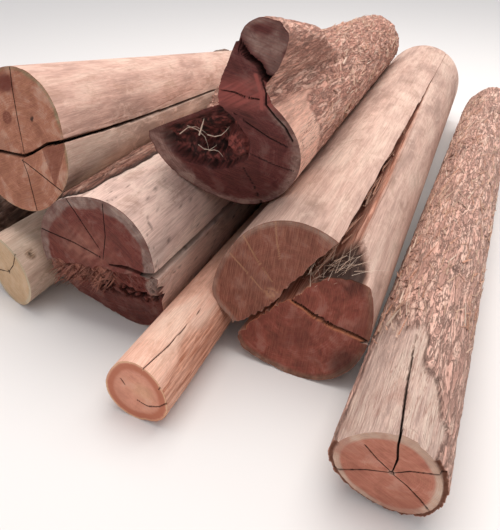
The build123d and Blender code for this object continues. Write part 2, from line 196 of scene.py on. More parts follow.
class Trunk:
    """A log's axis, its lobed section and its near saw cut."""

    def __init__(self, near, heading, slope, radii, length, lobes, saw, dent=None):
        turn = math.radians(heading)
        lift = math.radians(slope)
        self.near = np.array(near) + HEAP_SHIFT
        self.along = np.array(
            [math.sin(turn) * math.cos(lift), math.cos(turn) * math.cos(lift), math.sin(lift)]
        )
        self.side = np.array([math.cos(turn), -math.sin(turn), 0.0])
        self.up = np.cross(self.side, self.along)
        self.radii = radii
        self.length = length
        self.lobes = lobes
        self.saw = [math.tan(math.radians(angle)) for angle in saw]
        self.dent = dent

    def radius(self, clock, station):
        """The reach from the axis to the bare outline, with its lobes, its dent and its taper."""
        share = 1.0
        for count, height, peak in self.lobes:
            share = share + height * np.cos(count * (clock - math.radians(peak)))
        if self.dent:
            middle, reach, depth = self.dent
            fade = np.clip(np.abs(turn_from(clock, middle)) / reach, 0.0, 1.0)
            share = share * (1.0 - depth * (0.5 + 0.5 * np.cos(np.pi * fade)))
        return share * (self.radii[0] + (self.radii[1] - self.radii[0]) * station / self.length)

    def section(self, clock, station):
        """The outline's points across and up from the axis."""
        reach = self.radius(clock, station)
        return reach * np.cos(clock), reach * np.sin(clock)

    def reach_from(self, from_u, from_v, clock, station):
        """How far the outline lies from a point within it, seen along a clock angle."""
        way_u = np.cos(clock)
        way_v = np.sin(clock)
        toward = from_u * way_u + from_v * way_v
        bare = self.radii[0] + 0.0 * station
        for _ in range(5):
            reach = np.sqrt(np.maximum(toward ** 2 - from_u ** 2 - from_v ** 2 + bare ** 2, 1.0)) - toward
            bare = self.radius(np.arctan2(from_v + reach * way_v, from_u + reach * way_u), station)
        return reach

    def sawn(self, u, v):
        """The station of the saw cut."""
        return -self.saw[0] * u - self.saw[1] * v

    def place(self, u, v, s):
        """Points in the frame, in metres."""
        spot = self.near + np.multiply.outer(s, self.along)
        spot = spot + np.multiply.outer(u, self.side) + np.multiply.outer(v, self.up)
        return 0.001 * spot


TRUNKS = {
    "split_log": Trunk(
        (0.0, -50.0, 296.1), -1.2, -0.309, (316.0, 297.0), 3300.0,
        ((2, 0.034, 0.0), (3, 0.034, -40.0), (4, 0.014, 32.0)), (5.0, -14.0), (210.0, 26.0, 0.2),
    ),
    "bark_log": Trunk(
        (494.37, -565.0, 186.79), 0.0, -0.128, (186.0, 178.0), 3600.0,
        ((2, 0.037, 69.0), (3, 0.041, -48.0)), (5.0, 4.0),
    ),
    "small_orange_log": Trunk(
        (-383.49, -532.0, 129.15), -1.2, -0.614, (134.0, 104.0), 2700.0,
        ((2, 0.04, 48.0), (3, 0.045, -30.0)), (5.0, -0.6),
    ),
    "cracked_log": Trunk(
        (-778.8, -152.0, 323.94), -0.9, -0.484, (316.0, 288.0), 3400.0,
        ((2, 0.012, 100.0), (3, 0.06, 57.0), (4, 0.02, 39.0)), (8.8, 0.0),
    ),
    "pale_corner_log": Trunk(
        (-1287.73, -155.0, 169.01), 1.2, -0.754, (170.0, 125.0), 3400.0,
        ((2, 0.025, 20.0), (3, 0.02, 10.0)), (18.0, 0.0),
    ),
    "brown_back_log": Trunk(
        (-1649.73, -20.0, 215.96), -3.8, -0.344, (207.0, 188.0), 3300.0,
        ((2, 0.03, 75.0), (3, 0.02, 40.0)), (6.0, 3.0),
    ),
    "forked_log": Trunk(
        (-361.14, 164.0, 787.65), -1.349, -3.456, (298.0, 207.0), 2730.0,
        ((2, 0.012, 2.0), (3, 0.012, -52.0), (4, 0.016, 7.0)), (-4.8, 26.0),
    ),
    "pale_top_log": Trunk(
        (-1226.94, -10.0, 737.87), -5.4, -8.281, (286.0, 150.0), 3300.0,
        ((2, 0.014, -64.0), (3, 0.026, -47.0)), (12.0, -4.0), (-15.0, 30.0, -0.05),
    ),
}


def crowded(count, clocks=(), spread=3.0, weight=7.0):
    """Clock angles all round a section, closer together near some of them."""
    fine = np.linspace(0.0, 360.0, 7200, endpoint=False)
    density = np.ones_like(fine)
    for clock in clocks:
        density += weight * np.exp(-(((fine - clock + 180.0) % 360.0 - 180.0) / spread) ** 2)
    reached = np.cumsum(density)
    return np.radians(np.interp(np.arange(count) * reached[-1] / count, reached, fine))


def stepped(length, count, first=2.5):
    """Shares of a length, close together at the near end."""
    growth = np.cumsum(np.minimum(first * 1.16 ** np.arange(400), length))
    coarse = length / count
    close = growth[np.diff(growth, prepend=0.0) < coarse]
    rest = np.linspace(close[-1], length, max(4, count - len(close)))[1:]
    return np.concatenate([[0.0], close, rest]) / length


def fixed(u, v):
    """The middle of a skin's rows where it is the same all along the log."""
    return lambda s: (u + 0.0 * s, v + 0.0 * s)


class Skin:
    """A log's surface as rows of points, from the middle of its near end out and along its side.

    relief(clock, s) is how far the side stands out or in, depth(u, v) how far the near end is sunk.
    section(clock, s) is the outline and middle(s) the place within it that the rows are laid round.
    """

    CLOSED = 0.004

    def __init__(
        self, trunk, clocks, stations, rings, relief, depth, section=None, middle=fixed(0.0, 0.0),
        pith=(0.0, 0.0),
    ):
        self.trunk = trunk
        section = section or trunk.section

        def lay(clock, s):
            u, v = section(clock, s)
            centre_u, centre_v = middle(s)
            reach = np.hypot(u - centre_u, v - centre_v)
            share = 1.0 + relief(clock, s) / reach
            return centre_u + (u - centre_u) * share, centre_v + (v - centre_v) * share

        clock = clocks[None, :]
        s = np.zeros_like(clock)
        for _ in range(6):
            u, v = lay(clock, s)
            s = trunk.sawn(u, v) + depth(u, v)
        side_s = s + (trunk.length - s) * stations[:, None]
        side_u, side_v = lay(np.broadcast_to(clock, side_s.shape), side_s)
        shares = np.linspace(0.0, 1.0, rings + 1)[:-1, None] ** 0.8
        shares[0] = self.CLOSED
        centre = middle(np.zeros(1))
        cap_u = centre[0] + shares * (side_u[:1] - centre[0])
        cap_v = centre[1] + shares * (side_v[:1] - centre[1])
        cap_s = trunk.sawn(cap_u, cap_v) + depth(cap_u, cap_v)
        far = middle(np.array([trunk.length]))
        far_shares = np.array([0.985, 0.8, 0.6, 0.4, 0.2, self.CLOSED])[:, None]
        far_u = far[0] + far_shares * (side_u[-1:] - far[0])
        far_v = far[1] + far_shares * (side_v[-1:] - far[1])
        self.u = np.concatenate([cap_u, side_u, far_u])
        self.v = np.concatenate([cap_v, side_v, far_v])
        self.s = np.concatenate([cap_s, side_s, np.full_like(far_u, trunk.length)])
        rows = len(self.u)
        self.rim = rings
        self.far = rings + len(stations) - 1
        self.clock = np.broadcast_to(clock, self.u.shape)
        self.share = np.concatenate([shares[:, 0], np.ones(len(stations)), far_shares[:, 0]])[:, None]
        self.share = np.broadcast_to(self.share, self.u.shape)
        row = np.arange(rows)[:, None]
        self.on_end = np.broadcast_to(row < self.rim, self.u.shape)
        self.on_side = np.broadcast_to((row >= self.rim) & (row <= self.far), self.u.shape)
        self.dark = np.zeros_like(self.u)
        self.second = np.zeros_like(self.u)
        self.third = np.zeros_like(self.u)
        self.pith = pith

    def part(self, side_slot=0, end_slot=1):
        """Its points, faces, each face's slot, and the values that its materials read."""
        rows, around = self.u.shape
        points = self.trunk.place(self.u, self.v, self.s).reshape(-1, 3)
        number = np.arange(rows * around).reshape(rows, around)
        here = number[:-1]
        there = number[1:]
        quads = np.stack([here, there, np.roll(there, -1, axis=1), np.roll(here, -1, axis=1)], axis=-1)
        row = np.repeat(np.arange(rows - 1), around)
        slots = np.where((row >= self.rim) & (row < self.far), side_slot, end_slot)
        wood = 0.001 * np.stack([self.u - self.pith[0], self.v - self.pith[1], self.s], axis=-1)
        tone = np.stack([self.dark, self.second, self.third], axis=-1)
        near_fan = number[0][None, ::-1].tolist()
        far_fan = number[-1][None, :].tolist()
        faces = quads.reshape(-1, 4).tolist() + near_fan + far_fan
        slots = np.concatenate([slots, [end_slot, end_slot]])
        return points, faces, slots, wood.reshape(-1, 3), np.clip(tone, 0.0, 1.0).reshape(-1, 3)


def make_mesh(name, parts, materials, smooth_angle=50.0):
    """One mesh of several parts, with the values its materials read and the edges sharp past an angle."""
    points = []
    faces = []
    slots = []
    woods = []
    tones = []
    count = 0
    for part_points, part_faces, part_slots, wood, tone in parts:
        points.append(part_points)
        faces += [[count + corner for corner in face] for face in part_faces]
        slots.append(part_slots)
        woods.append(wood)
        tones.append(tone)
        count += len(part_points)
    points = np.clip(np.concatenate(points), *(np.array(corner) for corner in cad_bounds))
    mesh = bpy.data.meshes.new(name)
    mesh.from_pydata(points.tolist(), [], faces)
    mesh.polygons.foreach_set("material_index", np.concatenate(slots).astype(np.int32))
    for key, values in (("wood", woods), ("tone", tones)):
        layer = mesh.attributes.new(key, "FLOAT_VECTOR", "POINT")
        layer.data.foreach_set("vector", np.concatenate(values).astype(np.float32).ravel())
    for material in materials:
        mesh.materials.append(material)
    mesh.polygons.foreach_set("use_smooth", np.ones(len(mesh.polygons), dtype=bool))
    mesh.set_sharp_from_angle(angle=math.radians(smooth_angle))
    mesh.update()
    thing = bpy.data.objects.new(name, mesh)
    bpy.context.collection.objects.link(thing)
    return thing


def settle_piece(thing, slot, *nodes):
    """Tie a finished piece to the frame."""
    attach(thing, "root")
    if nodes:
        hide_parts(*nodes)


# Splinters, straws and roots


def sliver(start, end, width, thickness, bend, wood, tone):
    """A thin strip of wood that tapers to a point, bowed sideways between its two ends."""
    start = np.array(start)
    end = np.array(end)
    run = end - start
    across = np.cross(run, (0.3, 0.2, 1.0))
    across = across / np.linalg.norm(across)
    over = np.cross(across, run)
    over = over / np.linalg.norm(over)
    points = []
    for share in (0.0, 0.3, 0.6, 0.85, 1.0):
        middle = start + share * run + math.sin(math.pi * share) * bend * over
        half = 0.5 * width * (1.0 - 0.92 * share ** 2)
        deep = 0.5 * thickness * (1.0 - 0.8 * share)
        points += [middle + half * across, middle + deep * over, middle - half * across, middle - deep * over]
    faces = [[0, 1, 2, 3], [19, 18, 17, 16]]
    for ring in range(4):
        for corner in range(4):
            first = 4 * ring + corner
            second = 4 * ring + (corner + 1) % 4
            faces.append([first, first + 4, second + 4, second])
    points = np.array(points)
    return points, faces, np.zeros(len(faces)), wood + (points - start), np.ones_like(points) * tone


# Materials

# How one colour lies on another, how two are multiplied, and how a value is eased from 0 to 1
OVER = {"output": 2, "data_type": "RGBA", "blend_type": "MIX"}
TIMES = {"output": 2, "data_type": "RGBA", "blend_type": "MULTIPLY"}
EASED = {"interpolation_type": "SMOOTHSTEP"}
EVEN = (1.0, 1.0, 1.0)


def add_node(tree, kind, sockets=(), output=0, stops=(), **settings):
    """Add a shader node, set it, link or set its sockets, and give back one of its outputs."""
    made = tree.nodes.new("ShaderNode" + kind)
    for name, value in settings.items():
        setattr(made, name, value)
    stops = list(stops)
    if stops:
        elements = made.color_ramp.elements
        while len(elements) < len(stops):
            elements.new(0.5)
        for element, (place, colour) in zip(elements, stops):
            element.position = place
            element.color = (*colour, 1.0)
    for key, value in dict(sockets).items():
        if isinstance(value, bpy.types.NodeSocket):
            tree.links.new(value, made.inputs[key])
        else:
            made.inputs[key].default_value = value
    return made.outputs[output] if made.outputs else None


def start_material(name):
    """A material, what adds its nodes, and the sockets with the wood's own place and its three masks.

    The masks are the painted shade of cracks, the share of the second shades and that of the third colour.
    """
    made = bpy.data.materials.new(name)
    made.use_nodes = True
    made.node_tree.nodes.clear()
    add = partial(add_node, made.node_tree)
    wood = add("Attribute", output="Vector", attribute_name="wood")
    tone = add("Attribute", output="Vector", attribute_name="tone")
    return made, add, wood, add("SeparateXYZ", {0: tone}).node.outputs


def drawn_out(add, place, stretch, cells, detail, roughness=0.6, distortion=0.0):
    """A random pattern of so many cells to a metre, drawn out along each axis whose stretch is small."""
    drawn = add("VectorMath", {0: place, 1: stretch}, operation="MULTIPLY")
    return add(
        "TexNoise", {
            "Vector": drawn, "Scale": cells, "Detail": detail, "Roughness": roughness,
            "Distortion": distortion,
        },
    )


def borders(add, pattern, low, high, most=1.0):
    """The lines along the middle height of a pattern, from most on them to 0 away from them."""
    level = add("Math", {0: pattern, 1: 0.5}, operation="SUBTRACT")
    level = add("Math", {0: level}, operation="ABSOLUTE")
    return add("MapRange", {0: level, 1: low, 2: high, 3: most, 4: 0.0}, **EASED)


def coat(add, colour, layer, pattern, low, high, most):
    """A colour with a layer of another on it where a pattern is high."""
    share = add("MapRange", {0: pattern, 1: low, 2: high, 4: most}, **EASED)
    return add("Mix", {0: share, 6: colour, 7: (*layer, 1.0)}, **OVER)


def finish_material(made, add, colour, height, bump, roughness):
    """The surface: base colour, roughness and bump."""
    bumped = add("Bump", {"Height": height, "Strength": 1.0, "Distance": bump})
    surface = add(
        "BsdfPrincipled", {
            "Base Color": colour, "Roughness": roughness, "IOR": 1.5, "Specular IOR Level": 0.3,
            "Normal": bumped,
        },
    )
    add("OutputMaterial", {0: surface})
    return made


def long_grain(
    name, shades, second, third, dark, fibre=1.0, dirt=None, dirt_share=0.4, bump=0.002, checks=0.45,
    streaky=0.4, flakes=0.0,
):
    """Wood or bark along its grain: streaks of four shades drawn out along the log, with fine fibres.

    The masks bring in the second shades, the third colour and the painted shade of cracks.
    """
    made, add, wood, masks = start_material(name)
    # Cells to a metre: streaks 29 mm wide, broad bands 140 mm, threads 16 mm, and fibres 5 mm, drawn
    # far coarser than real ones so that they show
    streaks = drawn_out(add, wood, (1.0, 1.0, 0.07), 34.0 * fibre, 6.0, 0.62, 0.4)
    broad = drawn_out(add, wood, (1.0, 1.0, 0.3), 7.0, 4.0, 0.6, 0.3)
    fine = drawn_out(add, wood, (1.0, 1.0, 0.035), 210.0 * fibre, 3.0)
    threads = drawn_out(add, wood, (1.0, 1.0, 0.05), 62.0 * fibre, 3.0, 0.55, 0.5)
    mixed = add("Math", {0: streaks, 1: streaky, 2: broad}, operation="MULTIPLY_ADD")
    place = add("MapRange", {0: mixed, 1: 0.26 + 0.5 * streaky, 2: 0.74 + 0.5 * streaky}, **EASED)
    colour = add("ValToRGB", {0: place}, stops=zip((0.0, 0.35, 0.65, 1.0), shades))
    other = add("ValToRGB", {0: place}, stops=zip((0.1, 0.5, 0.9), second))
    colour = add("Mix", {0: masks[1], 6: colour, 7: other}, **OVER)
    lines = add("MapRange", {0: fine, 1: 0.33, 2: 0.66}, **EASED)
    worn = add("Mix", {0: lines, 6: (0.45, 0.42, 0.42, 1.0), 7: (1.26, 1.26, 1.26, 1.0)}, **OVER)
    wear = add("Math", {0: masks[1], 1: -0.35 * streaky, 2: 0.15 + 0.4 * streaky}, operation="MULTIPLY_ADD")
    colour = add("Mix", {0: wear, 6: colour, 7: worn}, **TIMES)
    if dirt:
        # Dirt in patches about 90 mm across, and paler ones about 60 mm across
        patches = drawn_out(add, wood, (1.0, 1.0, 0.55), 11.0, 7.0, 0.68, 0.6)
        paler = drawn_out(add, wood, (1.0, 1.0, 0.4), 16.0, 8.0, 0.7, 0.9)
        colour = coat(add, colour, linear(dirt), patches, 0.5, 0.68, dirt_share)
        colour = coat(add, colour, shades[3], paler, 0.52, 0.66, 0.5)
    sparse = add("MapRange", {0: broad, 1: 0.42, 2: 0.58, 4: checks}, **EASED)
    check = add("Math", {0: borders(add, threads, 0.004, 0.035), 1: sparse}, operation="MULTIPLY")
    colour = add("Mix", {0: check, 6: colour, 7: (*shades[0], 1.0)}, **OVER)
    height = add("Mix", {0: 0.6, 6: streaks, 7: fine}, **OVER)
    if flakes:
        # Bark in strips 23 to 53 mm wide: winding shades, and painted shade in gaps along some of their
        # borders
        swirl = drawn_out(add, wood, (1.0, 1.0, 0.2), 19.0, 7.0, 0.66, 1.8)
        strips = drawn_out(add, wood, (1.0, 1.0, 0.1), 44.0, 5.0, 0.62, 1.3)
        share = add("Math", {0: masks[1], 1: -flakes, 2: flakes}, operation="MULTIPLY_ADD")
        both = add("Math", {0: strips, 1: 0.7, 2: swirl}, operation="MULTIPLY_ADD")
        place = add("MapRange", {0: both, 1: 0.66, 2: 1.04}, **EASED)
        plates = add("ValToRGB", {0: place}, stops=zip((0.0, 0.3, 0.62, 1.0), shades))
        colour = add("Mix", {0: share, 6: colour, 7: plates}, **OVER)
        height = add("Mix", {0: share, 6: height, 7: both}, **OVER)
        # Painted shade in the gaps between strips, which also sink in the bump
        for pattern, wide in ((swirl, 0.022), (strips, 0.03)):
            gap = borders(add, pattern, 0.0, wide, 0.6)
            gap = add("Math", {0: gap, 1: share}, operation="MULTIPLY")
            colour = add("Mix", {0: gap, 6: colour, 7: (*shades[0], 1.0)}, **OVER)
            height = add("Mix", {0: gap, 6: height, 7: (0.0, 0.0, 0.0, 1.0)}, **OVER)
    low, high = shades_of(third, -0.45, 0.3)
    place = add("MapRange", {0: threads, 1: 0.36, 2: 0.62}, **EASED)
    torn = add("Mix", {0: place, 6: (*low, 1.0), 7: (*high, 1.0)}, **OVER)
    torn = add("Mix", {0: 0.5, 6: torn, 7: worn}, **TIMES)
    # The third colour, then the dark mask's near black: painted shade in cracks, furrows and hollows, and
    # some dark marks
    for mask, layer in ((masks[2], torn), (masks[0], (*dark, 1.0))):
        colour = add("Mix", {0: mask, 6: colour, 7: layer}, **OVER)
    return finish_material(made, add, colour, height, bump, 0.82)


def end_grain(
    name, heart, edge, third, dark, saw_colour, ring=0.006, saw_angle=30.0, saw_depth=0.3, bump=0.0022,
    dirt=None,
):
    """A sawn end: rings about the pith, the heart and paler edge, and slanting marks of the saw's chain."""
    made, add, wood, masks = start_material(name)
    flat = add("VectorMath", {0: wood, 1: (1.0, 1.0, 0.0)}, operation="MULTIPLY")
    # Rings that wander, 5 to 10 mm apart, wider than real ones so that they show, and bands of 17 mm
    # for light and dark years
    wobble = drawn_out(add, flat, EVEN, 9.0, 3.0, 0.5)
    radius = add("VectorMath", {0: flat}, 1, operation="LENGTH")
    pushed = add("Math", {0: wobble, 1: 0.03, 2: radius}, operation="MULTIPLY_ADD")
    turns = add("Math", {0: pushed, 1: 2.0 * math.pi / ring}, operation="MULTIPLY")
    rings = add("Math", {0: turns}, operation="SINE")
    bands = drawn_out(add, add("CombineXYZ", {0: pushed}), EVEN, 60.0, 3.0, 0.7)
    # Marks of the chain's teeth, 4 mm apart and 25 times as long, blotches of 80 mm and stains of 200 mm
    angle = math.radians(saw_angle)
    turned = add("VectorRotate", {"Vector": flat, "Angle": angle}, rotation_type="Z_AXIS")
    marks = drawn_out(add, turned, (0.04, 1.0, 1.0), 260.0, 5.0, 0.75, 0.1)
    blotch = drawn_out(add, flat, EVEN, 12.0, 6.0, 0.65, 0.5)
    stains = drawn_out(add, flat, EVEN, 5.0, 7.0, 0.62, 0.7)
    mixed = add("Math", {0: bands, 1: 0.3, 2: blotch}, operation="MULTIPLY_ADD")
    place = add("MapRange", {0: mixed, 1: 0.46, 2: 0.86}, **EASED)
    colour = add("ValToRGB", {0: place}, stops=zip((0.0, 0.5, 1.0), heart))
    other = add("ValToRGB", {0: place}, stops=zip((0.0, 0.5, 1.0), edge))
    colour = add("Mix", {0: masks[1], 6: colour, 7: other}, **OVER)
    colour = coat(add, colour, dark, rings, 0.1, 1.0, 0.12)
    colour = coat(add, colour, heart[0], stains, 0.46, 0.62, 0.6)
    colour = coat(add, colour, linear(saw_colour) if saw_colour else edge[2], marks, 0.42, 0.62, saw_depth)
    if dirt:
        # Dirt in patches about 40 mm across
        patches = drawn_out(add, flat, EVEN, 26.0, 7.0, 0.7, 0.8)
        colour = coat(add, colour, linear(dirt), patches, 0.52, 0.7, 0.6)
    # The third colour, then the dark mask's near black: painted shade in cracks and hollows, and some dark
    # marks
    for mask, layer in ((masks[2], linear(third)), (masks[0], dark)):
        colour = add("Mix", {0: mask, 6: colour, 7: (*layer, 1.0)}, **OVER)
    height = add("Mix", {0: 0.35, 6: marks, 7: blotch}, **OVER)
    return finish_material(made, add, colour, height, bump, 0.78)


# What a user would change: each colour's label, what it is for, and its hex

COLOURS = {
    "pale_wood": ("Pale wood", "Barkless side of the top log", "#d0a898"),
    "cream_wood": ("Cream wood", "Smooth side of the split log", "#cda898"),
    "grey_wood": ("Grey wood", "Weathered side of the cracked log", "#dcbbad"),
    "orange_wood": ("Orange wood", "Freshly peeled side of the small log", "#efb9a2"),
    "pink_bark": ("Pink bark", "Stringy bark of the front log", "#e4b19f"),
    "red_bark": ("Red bark", "Stringy bark of the forked log", "#dd9f8a"),
    "brown_bark": ("Brown bark", "Bark of the log at the back", "#77564a"),
    "heartwood": ("Heartwood", "Sawn orange heart", "#a4664f"),
    "dark_heartwood": ("Dark heartwood", "Sawn dark red heart", "#6c3029"),
    "sapwood": ("Sapwood", "Sawn cream ring under the bark", "#c6a592"),
    # Painted shade: the near black that the dark masks lay in cracks, furrows, gaps and hollows
    "shadow": ("Crack", "Inside of the cracks", "#170b08"),
}


class LogHeapSettings(bpy.types.PropertyGroup):
    """Colours and sizes of the heap's looks."""

    bark_depth: FloatProperty(
        name="Bark depth", description="Depth of the furrows in the bark", unit="LENGTH", default=0.009,
        min=0.0, max=0.015,
    )
    wood_depth: FloatProperty(
        name="Wood relief", description="Depth of the hollows in barkless wood", unit="LENGTH", default=0.004,
        min=0.0, max=0.01,
    )
    splinters: IntProperty(
        name="Splinters", description="Torn fibres at the hinge of the cracked log", default=150, min=0,
        max=600,
    )
    straws: IntProperty(
        name="Straws", description="Dry straws caught in the cleft", default=70, min=0, max=400
    )


for setting, (label, use, shade) in COLOURS.items():
    LogHeapSettings.__annotations__[setting] = FloatVectorProperty(
        name=label, description=use, subtype="COLOR", min=0.0, max=1.0, default=linear(shade)
    )


class Crack(NamedTuple):
    """A drying crack: a bent line on the sawn end, and a track of stations and clocks on the side."""

    path: tuple
    width: float
    deep: float
    track: tuple = ()
    side_width: float = 0.0
    side_deep: float = 0.0
    length: float = 1.0

    def on_end(self, u, v, wider=0.0):
        """1 along the middle of the crack on the sawn end, 0 outside it."""
        gap, along, _ = off_path(u, v, self.path)
        half = 0.5 * self.width * (0.35 + 0.65 * np.minimum(1.0, 3.0 * along)) + wider
        return ease(1.0, 0.35, gap / half)

    def on_side(self, trunk, clock, s):
        """1 along the middle of the crack on the log's side, 0 outside it."""
        if not self.track:
            return 0.0 * clock * s
        stations, clocks = zip(*self.track)
        middle = np.interp(s, stations, clocks) + 0.5 * (hills(71, 0.0 * s, s / 60.0) - 0.5)
        away = np.radians(np.abs(turn_from(clock, middle))) * trunk.radius(clock, s)
        half = 0.5 * self.side_width * np.sqrt(np.clip(1.0 - s / self.length, 0.0, 1.0)) + 1e-3
        return ease(1.0, 0.35, away / half)


def cracked_depth(cracks, u, v):
    """How far the cracks sink the sawn end."""
    return sum(crack.deep * crack.on_end(u, v) for crack in cracks)


def cracked_side(cracks, trunk, clock, s):
    """How far the cracks push the log's side, which is inwards."""
    return -sum(crack.side_deep * crack.on_side(trunk, clock, s) for crack in cracks)


def darken_cracks(skin, cracks):
    """Painted shade in the cracks: their insides are dark, and the dark reaches a little past their edges."""
    for crack in cracks:
        end = crack.on_end(skin.u, skin.v, 1.5) * skin.on_end
        side = crack.on_side(skin.trunk, skin.clock, skin.s) * skin.on_side
        skin.dark = np.maximum(skin.dark, np.maximum(end, side))


def smooth_wood(seed, deep):
    """Barkless wood: slow hollows, and long shallow checks along the grain."""

    def relief(clock, s):
        turn = clock / (2.0 * math.pi)
        bend = 0.8 * hills(seed + 9, turn * 5, s / 500.0, 5)
        slow = rough(seed, turn * 9, s / 420.0, 3, 9)
        check = ease(0.9, 1.0, ridge(hills(seed + 5, turn * 46 + bend, s / 330.0, 46)))
        return -deep * (0.7 * slow + 0.5 * check)

    return relief


def bark_relief(seed, deep, around):
    """Stringy bark: long strips, furrowed, that split and join again."""

    def relief(clock, s):
        turn = clock / (2.0 * math.pi)
        bend = 2.2 * hills(seed + 9, turn * 7, s / 240.0, 7) + 0.9 * hills(seed + 8, turn * 21, s / 90.0, 21)
        strip = ridge(hills(seed, turn * around + bend, s / 190.0, around))
        thread = ridge(hills(seed + 3, turn * 3 * around + 2 * bend, s / 75.0, 3 * around))
        lump = rough(seed + 6, turn * 11, s / 130.0, 3, 11)
        flake = rough(seed + 12, turn * 2 * around + bend, s / 34.0, 2, 2 * around)
        torn = ease(0.5, 0.56, flake)
        return -deep * (1.3 - 0.5 * strip ** 0.6 - 0.2 * thread - 0.3 * lump - 0.3 * torn)

    return relief


def end_relief(seed, u, v, angle, deep=1.6):
    """The low waves that a chain saw leaves across a cut."""
    turn = math.radians(angle)
    across = -u * math.sin(turn) + v * math.cos(turn)
    along = u * math.cos(turn) + v * math.sin(turn)
    return deep * rough(seed, along / 160.0 + 40.0, across / 16.0 + 40.0, 3)


class LogOperator:
    """What the operators of the heap share."""

    bl_options = {"REGISTER", "UNDO"}

    def execute(self, context):
        self.build(context.scene.log_heap)
        return {"FINISHED"}


class AddSplitLog(LogOperator, bpy.types.Operator):
    """Add the long smooth log, cleft in two for most of its length"""

    bl_idname = "mesh.add_split_log"
    bl_label = "Split log"

    # The cleft: the turn and middle of its line on the section, how far it runs along the log, and the
    # heights of its upper and lower edge over that line. Each half has its middle HALF away from the
    # line, and looks for the cleft's wall in so many steps.
    PITCH = math.radians(46.0)
    MIDDLE = np.array([-45.0, -20.0])
    CLEFT = 2550.0
    HALF = 162.0
    STEPS = 28
    UPPER_EDGE = (
        (-330.0, 40.0), (-167.0, 36.0), (-87.0, 24.0), (-12.0, 20.0), (66.0, 34.0), (176.0, 45.0),
        (245.0, 57.0), (341.0, 61.0),
    )
    LOWER_EDGE = (
        (-330.0, -25.0), (-206.0, 0.0), (-23.0, 1.0), (49.0, -12.0), (124.0, -9.0), (225.0, -18.0),
        (299.0, -79.0), (353.0, -155.0),
    )

    def half(self, upper, chosen):
        """One half of the log: a rounded side, and the torn wall of the cleft."""
        trunk = TRUNKS["split_log"]
        run = np.array([math.cos(self.PITCH), math.sin(self.PITCH)])
        rise = np.array([-run[1], run[0]])
        sign = 1.0 if upper else -1.0
        centre = self.MIDDLE + sign * self.HALF * rise

        def wall(across, s):
            """How far the cleft's wall lies from its middle line."""
            closing = np.clip(1.0 - s / self.CLEFT, 0.0, 1.0)
            fibre = 16.0 * (rough(31, across / 26.0 + 50.0, s / 420.0, 3) - 0.5)
            fibre = fibre + 10.0 * (ridge(hills(34, across / 9.0 + 90.0, s / 160.0)) - 0.5)
            fibre = fibre * np.minimum(1.0, 4.0 * closing)
            ragged = 12.0 * (hills(37, across / 12.0 + 70.0, s / 900.0) - 0.5) * ease(60.0, 0.0, s)
            base = np.interp(s, (0.0, 900.0, 2400.0), (0.0, 6.0, 36.0)) * ease(-100.0, 200.0, across)
            if upper:
                return base + closing * np.interp(across, *zip(*self.UPPER_EDGE)) + fibre + ragged
            broken = np.interp(across, *zip(*self.LOWER_EDGE))
            whole = -12.0 - 6.0 * ease(150.0, 350.0, across)
            edge = broken + (whole - broken) * ease(75.0, 200.0, s) * ease(60.0, 160.0, across)
            return base - 1.0 + closing * edge - fibre - ragged

        def section(clock, s):
            """The trunk's outline seen from the half's centre, cut short where a ray meets the wall."""
            way_u = np.cos(clock)
            way_v = np.sin(clock)
            reach = trunk.reach_from(*centre, clock, s)
            level = (centre - self.MIDDLE) @ rise
            start = (centre - self.MIDDLE) @ run
            share = np.ones_like(reach)
            before = sign * level + 0.0 * reach
            for step in range(1, self.STEPS + 1):
                gone = reach * step / self.STEPS
                across = start + gone * (way_u * run[0] + way_v * run[1])
                clear = sign * (level + gone * (way_u * rise[0] + way_v * rise[1]) - wall(across, s))
                met = (share == 1.0) & (clear < 0.0)
                crossing = step - 1.0 + before / np.maximum(before - clear, 1e-6)
                share = np.where(met, crossing / self.STEPS, share)
                before = clear
            reach = reach * share
            return centre[0] + reach * way_u, centre[1] + reach * way_v

        if upper:
            cracks = [
                Crack(((-78.0, 67.0), (-150.0, 135.0), (-216.0, 214.0), (-235.0, 232.0)), 5.0, 3.0),
                Crack(((-57.0, 158.0), (-80.0, 230.0), (-93.0, 300.0)), 4.0, 2.0),
                Crack(((-115.0, 25.0), (-190.0, 80.0), (-265.0, 132.0)), 4.0, 2.0),
            ]
        else:
            cracks = [
                Crack(
                    ((2.0, 2.0), (88.0, -27.0), (170.0, -50.0), (300.0, -68.0)), 10.0, 34.0,
                    ((-60.0, -12.8), (900.0, -11.0)), 14.0, 30.0, 900.0,
                ),
            ]

        def depth(u, v):
            sunk = end_relief(41 + upper, u, v, 58.0) + cracked_depth(cracks, u, v)
            return sunk if upper else sunk + 21.0 + 10.0 * grains(43, u, v, 45.0, 3, 30.0)

        smooth = smooth_wood(40, 1000.0 * chosen.wood_depth)

        def relief(clock, s):
            u, v = section(clock, s)
            around = np.arctan2(v, u)
            outer = ease(-22.0, -4.0, np.hypot(u, v) - trunk.radius(around, s))
            return outer * smooth(around % (2.0 * math.pi), s) + cracked_side(cracks, trunk, around, s)

        corners = []
        for across, level in ((-300.0, 15.0), (340.0, 50.0 if upper else -15.0)):
            corner = self.MIDDLE + across * run + level * rise
            corners.append(math.degrees(math.atan2(*(corner - centre)[::-1])))
        if not upper:
            corners.append(math.degrees(math.atan2(-68.0 - centre[1], 300.0 - centre[0])))
        skin = Skin(
            trunk, crowded(290, corners, 3.0, 6.0), stepped(trunk.length, 96), 36, relief, depth, section,
            fixed(*centre), (-9.0, 4.0),
        )
        u, v, s, clock = skin.u, skin.v, skin.s, skin.clock
        around = np.arctan2(v, u)
        edge = trunk.radius(around, s) - np.hypot(u, v)
        inner = ease(12.0, 30.0, edge) * skin.on_side * (s > trunk.sawn(u, v) + 3.0)
        across = (u - self.MIDDLE[0]) * run[0] + (v - self.MIDDLE[1]) * run[1]
